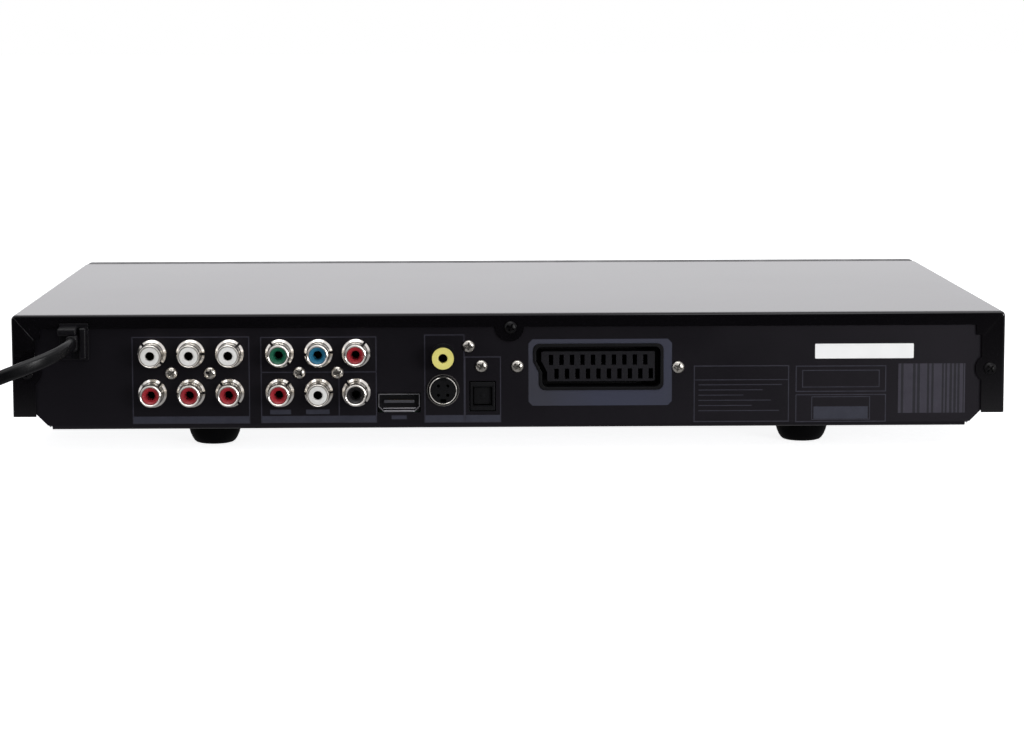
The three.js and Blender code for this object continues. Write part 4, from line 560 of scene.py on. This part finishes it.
# Disc tray: a black ABS moulding with the two disc recesses, and its door clipped to the front.
# The mould was spark-eroded, which leaves a satin finer than the bezel's grain.
satin_abs = surface("satin_black_abs", "131316", "0e0e11", 0.33, 0.3, 0.008,
                    **{"Specular IOR Level": 0.3})
machined("disc_tray", satin_abs, 0.35)
machined("tray_front", satin_abs, 0.4)

# Phono sockets: rolled nickel shells riveted through the panel over a black housing for each group.
# Each shell has a flange with two slots and a coloured insert. The housings are even, dull polyester.
panel_y, panel_wall = 105.35, 0.8
black_housing = surface("black_housing", "0f0f11", "0b0b0d", 0.45, 0.3, 0.01,
                        **{"Specular IOR Level": 0.12})
for node in ("surround_jack_block", "av_jack_block", "video_jack_block"):
    machined(node, black_housing, 0.2)
# soft polyethylene inserts: clear even colours with a slight gloss
insert_colours = {
    "white": ("dfdedb", "d2d0cc"), "red": ("a52c35", "90232b"), "green": ("1f6b50", "195a43"),
    "blue": ("2c7b9c", "236a88"), "black": ("1e1b1d", "171517"), "yellow": ("ddd57c", "d2c96c"),
}
inserts = {name: surface(name + "_insert", base, shade, 0.3, 0.5, 0.006)
           for name, (base, shade) in insert_colours.items()}
# nickel on rolled brass: a soft mirror that is pale on its curves and dark where it shows the dark room
shell_nickel = surface("rolled_nickel_shell", "ebe7e1", "d9d5ce", 0.22, 0.4, 0.001, patches=2.5,
                       spread=0.04, Metallic=1.0)
sockets = [
    ("surround_upper_1", 129.5, 27.6, "white", 135), ("surround_upper_2", 115.6, 27.6, "white", 0),
    ("surround_upper_3", 101.5, 27.6, "white", 45), ("av_upper_1", 83.4, 27.6, "green", 130),
    ("av_upper_2", 69.3, 27.6, "blue", 5), ("av_upper_3", 55.7, 27.6, "red", 50),
    ("surround_lower_1", 129.5, 13.2, "red", 50), ("surround_lower_2", 115.6, 13.2, "red", 2),
    ("surround_lower_3", 101.5, 13.2, "red", 132), ("av_lower_1", 83.4, 13.2, "red", 48),
    ("av_lower_2", 69.3, 13.2, "white", 3), ("av_lower_3", 55.7, 13.2, "black", 133),
    ("video", 24.2, 26.4, "yellow", None),
]
flange = [(5.1, 0.02), (5.22, 0.2), (5.2, 0.5), (5.0, 0.75), (4.4, 1.12), (4.2, 1.4), (4.15, 1.8)]
for name, x, z, tint, slot_angle in sockets:
    place = (x, panel_y, z + floor_gap)
    plated = slot_angle is not None
    if not plated:
        # the video socket has no rivet flange in sight, and its plastic laps over the shell's end
        rim = [(4.6, 0.02), (4.6, 0.6), (4.3, 0.9), (4.15, 1.2), (4.15, 8.1), (3.5, 8.1)]
        face = [(3.44, 0.6), (3.44, 8.15), (3.98, 8.15), (3.98, 8.6), (3.9, 8.95), (2.2, 8.98),
                (1.75, 8.8), (1.6, 8.3), (1.6, 6.7), (3.16, 6.7), (3.16, 0.6), (3.44, 0.6)]
    elif tint == "white":
        rim = [*flange, (4.15, 8.2), (4.07, 8.6), (3.96, 8.85), (3.82, 8.95), (3.68, 8.85), (3.56, 8.6),
               (3.5, 8.2)]
        face = [(3.44, 0.6), (3.46, 8.5), (3.3, 8.85), (2.0, 8.88), (1.7, 8.6), (1.62, 8.0), (1.62, 6.7),
                (3.16, 6.7), (3.16, 0.6), (3.44, 0.6)]
    else:
        # coloured plastic stands back from the shell's rolled end and funnels into the bore
        rim = [*flange, (4.15, 8.1), (4.05, 8.55), (3.85, 8.85), (3.57, 8.96), (3.3, 8.85), (3.08, 8.6),
               (3.0, 8.3), (3.1, 8.15), (3.5, 8.0)]
        face = [(3.44, 0.6), (3.44, 7.75), (3.2, 8.0), (2.85, 7.95), (2.1, 7.3), (1.6, 6.6), (1.4, 5.6),
                (1.4, 3), (1.9, 3), (1.9, 4.2), (3.16, 4.6), (3.16, 0.6), (3.44, 0.6)]
    shell = turned([(3.5, 0.02), *rim, (3.5, 0.02)], place, sides=56)
    if plated:
        cut(shell, *[slot_cutter(-0.45, 0.45, panel_y - 1, panel_y + 1.3, 4.15, 6,
                                 math.pi / 2 - math.radians(slot_angle + turn), (x, 0, z + floor_gap))
                     for turn in (0, 180)])
    fit(shell, "phono_shell_" + name, "player",
        shell_nickel if plated else black_housing)
    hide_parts("barrel_" + name)
    lining = turned(face, place, sides=48)
    fit(lining, "phono_insert_" + name, "player",
        inserts[tint])

# Round four-pin video socket: a nickel ring on a thin flange round a black core with a key slot.
# The ring is drawn from the same strip as the phono shells, and its core belongs to their housing.
round_x, round_z = 24.2, 13.9 + floor_gap
svideo = (round_x, panel_y, round_z)
ring = joined([
    turned([(4.64, 0.41), (5.04, 0.41), (5.04, 1.95), (4.97, 2.18), (4.84, 2.28), (4.71, 2.18),
            (4.64, 1.95), (4.64, 0.41)], svideo, sides=64),
    turned([(5.6, 0.02), (5.85, 0.02), (5.85, 0.5), (5.6, 0.5), (5.6, 0.02)], svideo, sides=64),
])
ring_gap = block(round_x - 1.3, round_x + 0.9, panel_y + 0.7, panel_y + 3, round_z + 4, round_z + 6, edge=0)
cut(ring, ring_gap)
fit(ring, "round_socket_ring", "player", shell_nickel)
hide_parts("svideo_shell")
core = turned([(0.01, 1.72), (4.2, 1.72), (4.3, 0.9), (4.58, 0.9), (4.58, 1.75), (4.4, 1.92),
               (0.01, 1.92)], svideo, sides=48)
pins = [turned([(0.01, 1.4), (0.62, 1.4), (0.62, 2.4), (0.01, 2.4)],
               (round_x + side * 1.7, panel_y, round_z + row * 1.7), sides=16)
        for side in (-1, 1) for row in (-1, 1)]
keys = [block(round_x - 1.1, round_x + 1.1, panel_y + 1, panel_y + 3, round_z - 5, round_z - 3.1, edge=0),
        block(round_x - 0.9, round_x + 0.9, panel_y + 1.2, panel_y + 3, round_z + 3.6, round_z + 5, edge=0)]
cut(core, *pins, *keys)
seat = [(4.6, 0.02), (5.58, 0.02), (5.58, 0.3), (5.08, 0.42), (4.6, 0.42), (4.6, 0.02)]
core = joined([core, turned(seat, svideo, sides=64)])
fit(core, "round_socket_core", "player", black_housing)


# Digital video socket: a shell folded from tinned steel strip, with cut-off lower corners, round a tongue.
# The lip at its mouth is doubled, and spring leaves inside it press on the plug.
def plate(outline, back, face, rounding=0.0, steps=4, which=(0, 1, 2, 3)):
    """A four-cornered sheet in X and Z with rounded corners, drawn out from back to face along Y."""
    bpy.ops.mesh.primitive_plane_add(size=mm)
    piece = bpy.context.object
    for vertex, (x, z) in zip(piece.data.vertices, (outline[0], outline[1], outline[3], outline[2])):
        vertex.co = Vector((x, back, z)) * mm
    bpy.ops.object.mode_set(mode="EDIT")
    bpy.ops.mesh.select_all(action="SELECT")
    if rounding:
        sheet_mesh = bmesh.from_edit_mesh(piece.data)
        sheet_mesh.verts.ensure_lookup_table()
        order = (0, 1, 3, 2)
        for vertex in sheet_mesh.verts:
            vertex.select_set(order[vertex.index] in which)
        sheet_mesh.select_flush(False)
        bmesh.update_edit_mesh(piece.data)
        bpy.ops.mesh.bevel(offset=rounding * mm, segments=steps, affect="VERTICES")
        bpy.ops.mesh.select_all(action="SELECT")
    bpy.ops.mesh.extrude_region_move(TRANSFORM_OT_translate={"value": (0, (face - back) * mm, 0)})
    bpy.ops.mesh.select_all(action="SELECT")
    bpy.ops.mesh.normals_make_consistent(inside=False)
    bpy.ops.object.mode_set(mode="OBJECT")
    return piece


dv_x0, dv_x1, dv_z0, dv_z1 = 32.7, 47.7, 6.1 + floor_gap, 12.7 + floor_gap
dv_front = panel_y + 0.8


def dv_outline(inset, back, face, corner):
    """The socket's outline with its two lower corners cut off, drawn in by an inset."""
    return plate([(dv_x0 + inset, dv_z0 + inset), (dv_x1 - inset, dv_z0 + inset),
                  (dv_x1 - inset, dv_z1 - inset), (dv_x0 + inset, dv_z1 - inset)],
                 dv_front + back, dv_front + face, corner, 1, which=(0, 1))


folded_shell = cut(dv_outline(0, -12, 0, 1.9), dv_outline(0.3, -9, 2, 1.8))
# its doubled lower lip and the spring leaf over it catch the light
folded_shell = joined([
    folded_shell,
    block(dv_x0 + 2, dv_x1 - 2, dv_front - 3, dv_front + 0.15, dv_z0 + 0.02, dv_z0 + 0.6, edge=0.15),
    block(dv_x0 + 1.7, dv_x1 - 1.7, dv_front - 5, dv_front - 0.4, dv_z0 + 1.15, dv_z0 + 1.4, edge=0.1),
])
# tin plate on steel strip: greyer and duller than nickel
tin_plate = surface("tin_plated_strip", "c9c8cc", "b3b2b6", 0.3, 0.4, 0.002, Metallic=1.0)
fit(folded_shell, "digital_video_shell", "player", tin_plate)
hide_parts("digital_video_socket")
tongue_top = dv_z1 - 2.4
tongue_wall = 1.0
tongue = block(dv_x0 + 2, dv_x1 - 2, dv_front - 8.9, dv_front - 0.5, tongue_top - tongue_wall, tongue_top,
               edge=0.2)
# glass-filled nylon, slightly chalky; its light grey is a painted highlight that stands in for the light its
# front face catches
tongue_painted_highlight = surface("grey_tongue_painted_highlight", "3a3a3f", "333338", 0.4, 0.3, 0.006)
fit(tongue, "digital_video_tongue", "player", tongue_painted_highlight)
core_parts = joined([
    dv_outline(0.35, -8.95, -2.4, 1.8),
    # the flange behind the panel shows in the corners that the shell leaves open
    *[plate([(x, dv_z0 - 0.1), (x + turn * 2, dv_z0 - 0.1), (x + turn, dv_z0 + 0.85), (x, dv_z0 + 1.9)],
            panel_y - 2.5, panel_y - 1) for x, turn in ((dv_x0 - 0.1, 1), (dv_x1 + 0.1, -1))],
])
fit(core_parts, "digital_video_core", "player", black_housing)
# gold flash on the contact strips, warm and bright, under the tongue and on top of it
gold_flash = surface("gold_flash", "c9a24a", "b78f38", 0.25, 0.2, 0.002, Metallic=1.0)
contacts = joined([
    block(dv_x0 + 3 + way, dv_x0 + 3.3 + way, dv_front - 4.5, dv_front - 2.0, level_z - 0.06,
          level_z + 0.06, edge=0)
    for level_z in (tongue_top, tongue_top - tongue_wall) for way in range(9)])
fit(contacts, "digital_video_contacts", "player", gold_flash)

# Optical socket: a black body with a square mouth, closed by a sprung door with a small boss.
# Both are moulded in the same dull polyester as the phono housings, and the door swings in at its top.
opt_x, opt_z = 9.9, 11.6 + floor_gap
opt_front = panel_y + 0.6
opt_wide, opt_high, opt_mouth, opt_lead_in = 4.5, 5.25, 3.45, 3.8
socket_frame = block(opt_x - opt_wide, opt_x + opt_wide, opt_front - 13, opt_front,
                     opt_z - opt_high, opt_z + opt_high, edge=0.35)
well = block(opt_x - opt_mouth, opt_x + opt_mouth, opt_front - 9, opt_front + 1,
             opt_z - opt_mouth, opt_z + opt_mouth, edge=0)
lead_in = plate([(opt_x + side * opt_lead_in, opt_z + row * opt_lead_in)
                 for side, row in ((-1, -1), (1, -1), (1, 1), (-1, 1))], opt_front - 0.4, opt_front + 1)
cut(socket_frame, well, lead_in)
fit(socket_frame, "optical_socket_body", "player", black_housing)
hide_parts("optical_socket")
door_low, door_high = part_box("optical_shutter")
door_low, door_high = door_low / mm, door_high / mm
door = joined([
    block(door_low.x, door_high.x, door_low.y, door_high.y, door_low.z, door_high.z, edge=0.2),
    turned([(0.01, 0), (0.9, 0), (0.85, 0.22), (0.01, 0.3)],
           (opt_x, door_high.y - 0.05, opt_z), sides=20),
])
fit(door, "optical_socket_door", "optical_shutter", black_housing)
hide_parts("optical_shutter")


# Large 21-way socket: a black body whose raised rim stands in the panel's opening, with a moat round
# a contact block that has two staggered rows of ten slots.
mouth_left, mouth_right, mouth_low, mouth_high = -55.9, -8.4, 13.6 + floor_gap, 30.7 + floor_gap
step_in, step_half = 2.1, 2.05


def mouth(inset, back, face, rounding):
    """The socket's mouth, drawn in by an inset: its end nearer the middle of the panel steps in."""
    sheet = block(mouth_left + inset, mouth_right - inset, back, face, mouth_low + inset, mouth_high - inset,
                  edge=0)
    choose(sheet, lambda middle, normal: normal.x > 0.5)
    bpy.ops.mesh.subdivide(number_cuts=3)
    shape = bmesh.from_edit_mesh(sheet.data)
    middle = (mouth_low + mouth_high) / 2
    rows = sorted({round(vertex.co.z / mm, 4) for vertex in shape.verts})
    for vertex in shape.verts:
        row = rows.index(round(vertex.co.z / mm, 4))
        if vertex.co.x > -0.02:
            vertex.co.z = (rows[0], middle - step_half, middle, middle + step_half, rows[4])[row] * mm
            vertex.co.x -= (step_in, step_in, step_in / 2, 0, 0)[row] * mm
    bmesh.update_edit_mesh(sheet.data)
    bpy.ops.object.mode_set(mode="OBJECT")
    if rounding:
        rounded = sheet.modifiers.new("corners", "BEVEL")
        rounded.width, rounded.segments, rounded.limit_method = rounding * mm, 4, "WEIGHT"
        weights = sheet.data.attributes.new("bevel_weight_edge", "FLOAT", "EDGE")
        for edge in sheet.data.edges:
            ends = [sheet.data.vertices[place].co for place in edge.vertices]
            turns = {round(end.z / mm, 3) for end in ends}
            if abs(ends[0].y - ends[1].y) > mm * 0.1 and turns <= {round(rows[0], 3), round(rows[4], 3)}:
                weights.data[edge.index].value = 1
        only(sheet)
        bpy.ops.object.modifier_apply(modifier="corners")
    return sheet


socket_back = panel_y - panel_wall - 0.3
socket_body = block(-58.5, -5.8, socket_back - 26, socket_back, 6.1 + floor_gap, 32.8 + floor_gap, edge=0.4)
rim = mouth(0.05, socket_back - 0.5, panel_y + 0.45, 2.6)
contact_block = mouth(3.1, socket_back - 10, socket_back - 0.6, 0.6)
cut(socket_body, mouth(1.2, socket_back - 9, socket_back + 2, 2.0))
cut(rim, mouth(1.2, socket_back - 3, panel_y + 3, 2.0))
ways = []
way_pitch, ways_x, ways_z, rows_apart = 3.81, (mouth_left + mouth_right - step_in) / 2, 21.95, 2.55
for row in (-1, 1):
    for way in range(10):
        x = ways_x + row + (way - 4.5) * way_pitch
        z = ways_z + floor_gap + row * rows_apart
        ways.append(block(x - 0.8, x + 0.8, socket_back - 9, socket_back, z - 1.9, z + 1.9, edge=0))
cut(contact_block, *ways)
# one edge break on what the plug rubs against
for piece in (rim, contact_block):
    break_edges(piece, 0.18)
large_socket = joined([socket_body, rim])
fit(large_socket, "scart_socket_body", "player", black_housing)
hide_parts("scart_socket")
fit(contact_block, "scart_contact_block", "player", black_glass_filled)

# Rear panel: cold-rolled steel in black powder, with boxes, bars and stripes screened on in grey.
# The powder is satin with a violet cast and shows the room as a slow change of tone. The ink is thin.
black_powder = surface("satin_black_powder", "060508", "050407", 0.38, 0.35, 0.006, patches=30, spread=0.03,
                       **{"Specular IOR Level": 0.28, "Specular Tint": (0.93, 0.87, 1, 1)})
machined("rear_panel", black_powder, 0.12)
ink_sunk, ink_proud = 0.05, 0.04


def corners(x0, x1, z0, z1):
    """The corners of a rectangle on the panel, with its heights from the chassis's underside."""
    return [(x0, z0 + floor_gap), (x1, z0 + floor_gap), (x1, z1 + floor_gap), (x0, z1 + floor_gap)]


def ink_bar(x0, x1, z0, z1, proud=ink_proud):
    """A printed bar on the panel."""
    return plate(corners(x0, x1, z0, z1), panel_y - ink_sunk, panel_y + proud)


def ink_frame(x0, x1, z0, z1, line=0.34):
    """Four printed bars as the outline of a box."""
    return [ink_bar(x0, x1, z0, z0 + line), ink_bar(x0, x1, z1 - line, z1),
            ink_bar(x0, x0 + line, z0 + line, z1 - line), ink_bar(x1 - line, x1, z0 + line, z1 - line)]


outlines = [
    *ink_frame(94.3, 136.8, 2.0, 33.8), *ink_frame(48.3, 90.3, 2.1, 33.6),
    *ink_frame(16.4, 31.0, 2.0, 34.2), *ink_frame(3.2, 16.4, 2.0, 26.1),
    ink_bar(48.3, 90.3, 20.5, 20.85), ink_bar(61.8, 62.15, 4.6, 20.5),
    *ink_frame(-101.6, -66.9, 1.7, 22.4), ink_bar(-101.3, -67.2, 17.0, 17.3),
    *ink_frame(-137, -104, 12.6, 22.2), *ink_frame(-137, -104, 1.5, 11.7),
    *ink_frame(-134.6, -106.4, 14.2, 20.6, 0.3),
    *[ink_bar(-99 + row * 7 % 17, -68.6, 15.2 - row * 1.9, 15.5 - row * 1.9) for row in range(6)],
    *ink_frame(-131.2, -109.8, 2.3, 10.9, 0.3),
]
outline_ink = surface("grey_screen_ink", "302f39", "272630", 0.5, 0.2, 0.004, patches=5,
                      **{"Specular IOR Level": 0.25})
fit(joined(outlines), "panel_outlines", "player", outline_ink)
bands = [
    ink_bar(94.7, 136.4, 2.35, 4.7), ink_bar(48.7, 89.9, 2.45, 4.7), ink_bar(16.8, 30.6, 2.35, 4.7),
    ink_bar(3.6, 16.0, 2.35, 4.7), ink_bar(-130.4, -110.6, 2.7, 7.2),
    ink_bar(37.5, 43, 3.3, 4.7), ink_bar(79.5, 87, 5.3, 7.0), ink_bar(65.5, 74, 5.3, 7.0),
]
band_ink = surface("blue_grey_screen_ink", "31323d", "2a2b36", 0.5, 0.2, 0.004, patches=5,
                   **{"Specular IOR Level": 0.25})
fit(joined(bands), "panel_bands", "player", band_ink)
surround = plate(corners(-58.9, -6.8, 8.0, 32.3), panel_y - ink_sunk, panel_y + ink_proud, 1.5, 1)
cut(surround, mouth(0, panel_y - 1, panel_y + 1, 2.4))
surround_ink = surface("slate_screen_ink", "38383f", "383a48", 0.5, 0.2, 0.004, patches=40,
                       **{"Specular IOR Level": 0.1})
# one field lies under the stripes, only a shade lighter than the powder
dim_ink = surface("dim_screen_ink", "1d1c23", "19181f", 0.5, 0.2, 0.004, patches=5,
                  **{"Specular IOR Level": 0.25})
fit(ink_bar(-165.8, -141.4, 4.7, 22.8), "panel_stripe_field", "player", dim_ink)
stripes = [ink_bar(-start - width, -start, 4.7, 22.8, 0.07) for start, width in [
    (141.4, 1.0), (143.3, 3.4), (147.7, 0.6), (149.3, 2.6), (152.7, 0.8), (154.3, 3.0),
    (158.0, 0.5), (159.2, 0.9), (161.0, 0.6), (162.5, 0.5), (163.8, 1.2), (165.4, 0.4)]]
stripe_ink = surface("violet_grey_screen_ink", "35323c", "302d37", 0.5, 0.2, 0.004, patches=5,
                     **{"Specular IOR Level": 0.25})
fit(surround, "panel_surround", "player", surround_ink)
fit(joined(stripes), "panel_stripes", "player", stripe_ink)
label = plate(corners(-146.9, -111.0, 24.8, 30.2), panel_y - 0.02, panel_y + 0.1, 0.3, 2)
# coated label paper: flat, white and even
label_paper = surface("blank_label_paper", "f0f0ef", "e9e9e8", 0.55, 0.2, 0.004)
fit(label, "blank_label", "player", label_paper)


# Screws: cold-headed pan heads with a cross recess. Zinc ones hold the sockets, black ones the cover.
# Black oxide drinks the light and leaves only a thin glint on the head's edge.
def pan_head(x, y, z, turn):
    """A screw head on that face, with its recess at that turn."""
    head = turned([(0.01, -0.1), (2.1, -0.1), (2.28, 0.1), (2.28, 0.45), (2.1, 0.85), (1.6, 1.2),
                   (0.9, 1.38), (0.01, 1.42)], (x, y, z), sides=32)
    return cut(head, *[slot_cutter(-0.34, 0.34, 0.3, 2, -1.5, 1.5, turn + arm, (x, y, z))
                       for arm in (0, math.pi / 2)])


for count, (x, z, turn) in enumerate([
    (122.6, 20.5, 0.9), (108.6, 20.5, 0.3), (76.3, 20.5, 0.7), (62.5, 20.5, 1.2), (14.9, 29.9, 0.1),
    (10.3, 22.6, 0.5), (-2.8, 22.5, 0.8), (-61.2, 21.9, 0.4),
]):
    fit(pan_head(x, panel_y, z + floor_gap, turn), f"socket_screw_{count + 1}", "player",
        silver_screw)
cover_y = 106.45
black_screw = surface("black_oxide_screw", "09080a", "070608", 0.3, 0.3, 0.004,
                      **{"Specular IOR Level": 0.16})
for count, (x, z, turn) in enumerate([(-0.3, 36.8, 0.5), (-174.6, 21.0, 0.8), (174.6, 21.0, 0.2)]):
    fit(pan_head(x, cover_y, z + floor_gap, turn), f"cover_screw_{count + 1}", "player",
        black_screw)

# Cord bushing: moulded in black nylon and snapped into the panel, with a sloping hood over the cord.
# Nylon is smooth, with a soft gleam on its rounded edges.
bush_low, bush_high = (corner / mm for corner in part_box("strain_relief"))
left, right, out = bush_high.x, bush_low.x, bush_high.y
collar = block(right, left, panel_y + 0.02, panel_y + 1.4, bush_low.z, bush_high.z, edge=0.4)
hood = block(lead_start.x - 1.6, left - 0.1, panel_y + 0.5, out, lead_start.z + 2.7,
             bush_high.z - 0.5, edge=0)
choose(hood, lambda middle, normal: normal.z > 0.5)
bpy.ops.transform.rotate(value=0.11, orient_axis="X", center_override=(
    left * mm, panel_y * mm, (bush_high.z - 0.5) * mm))
bpy.ops.object.mode_set(mode="OBJECT")
wall = block(right + 0.5, lead_start.x - 2.2, panel_y + 0.5, out - 2.6, bush_low.z + 0.6,
             bush_high.z - 1.4, edge=0)
for lump in (hood, wall):
    break_edges(lump, 0.7, 3)
sleeve = block(lead_start.x - 2.15, lead_start.x + 2.15, panel_y + 0.5, lead_start.y - 0.05,
               lead_start.z - 3.1, lead_start.z + 3.1, edge=1.2, steps=3)
tail = block(right + 0.8, left - 0.8, panel_y - 7, panel_y + 0.5, bush_low.z + 1.2,
             bush_high.z - 1.2, edge=0.6)
bushing = joined([collar, hood, wall, sleeve, tail])
nylon = surface("black_nylon", "100f12", "0c0b0e", 0.34, 0.5, 0.01, **{"Specular IOR Level": 0.16})
fit(bushing, "cord_bushing", "player", nylon)
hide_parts("strain_relief")

# Front: an ABS bezel with a fine eroded grain that dulls it, a smoked acrylic window and four ABS keys.
# The window is nearly black and mirror smooth. The keys' plain signs are screened on the bezel above them.
grained_abs = surface("grained_black_abs", "141417", "0f0f12", 0.4, 0.28, 0.015,
                      **{"Specular IOR Level": 0.3})
machined("front_bezel", grained_abs, 0.3)
smoked_acrylic = surface("smoked_acrylic", "0a0a0e", "08080b", 0.08, 3.0, 0.004, spread=0.03)
machined("display_window", smoked_acrylic, 0.3)
for node in ("open_close_button", "play_button", "stop_button", "power_button"):
    machined(node, satin_abs, 0.35)
front_y = -113.55


def sign(outline):
    """One printed shape on the bezel's face."""
    return plate([(x, z + floor_gap) for x, z in outline], front_y + ink_sunk, front_y - ink_proud)


signs = [
    sign([(88.2, 17.6), (91.8, 17.6), (90.02, 19.4), (89.98, 19.4)]),
    sign([(88.2, 16.9), (91.8, 16.9), (91.8, 17.3), (88.2, 17.3)]),
    sign([(108.8, 16.9), (111.4, 18.13), (111.4, 18.17), (108.8, 19.4)]),
    sign([(128.9, 17.0), (131.1, 17.0), (131.1, 19.2), (128.9, 19.2)]),
]
power_ring = turned([(1.0, ink_sunk), (1.3, ink_sunk), (1.3, -ink_proud), (1.0, -ink_proud), (1.0, ink_sunk)],
                    (160, front_y, 35.4 + floor_gap), sides=32)
cut(power_ring, block(159.6, 160.4, front_y - 1, front_y + 1, 36 + floor_gap, 37 + floor_gap, edge=0))
signs += [power_ring, sign([(159.85, 35.6), (160.15, 35.6), (160.15, 36.9), (159.85, 36.9)])]
# pale screen ink, even and dull
sign_ink = surface("pale_grey_ink", "b4b4b8", "a6a6aa", 0.5, 0.2, 0.003)
fit(joined(signs), "front_signs", "player", sign_ink)

# Top cover: one sheet of steel folded over the top and sides, its rear lip mitred at the corners.
# The powder is semi-gloss with a faint orange peel, and mirrors the white card at a low angle.
cover_powder = surface("semi_gloss_powder", "070608", "060507", 0.09, 1.1, 0.003, patches=60, spread=0.015,
                       **{"Specular IOR Level": 0.42, "Specular Tint": (0.985, 0.975, 1, 1)})
cover = machined("top_cover", cover_powder, 0.12, smooth=40)
mitre, mitre_x, mitre_z = math.radians(41), 176.0, 37.6 + floor_gap
for side in (-1, 1):
    cut(cover, slot_cutter(-0.14, 0.14, cover_y - 0.25, cover_y + 1, -6.2, 5.6,
                           -side * mitre, (side * mitre_x, 0, mitre_z)))
smoothed(cover, 40)
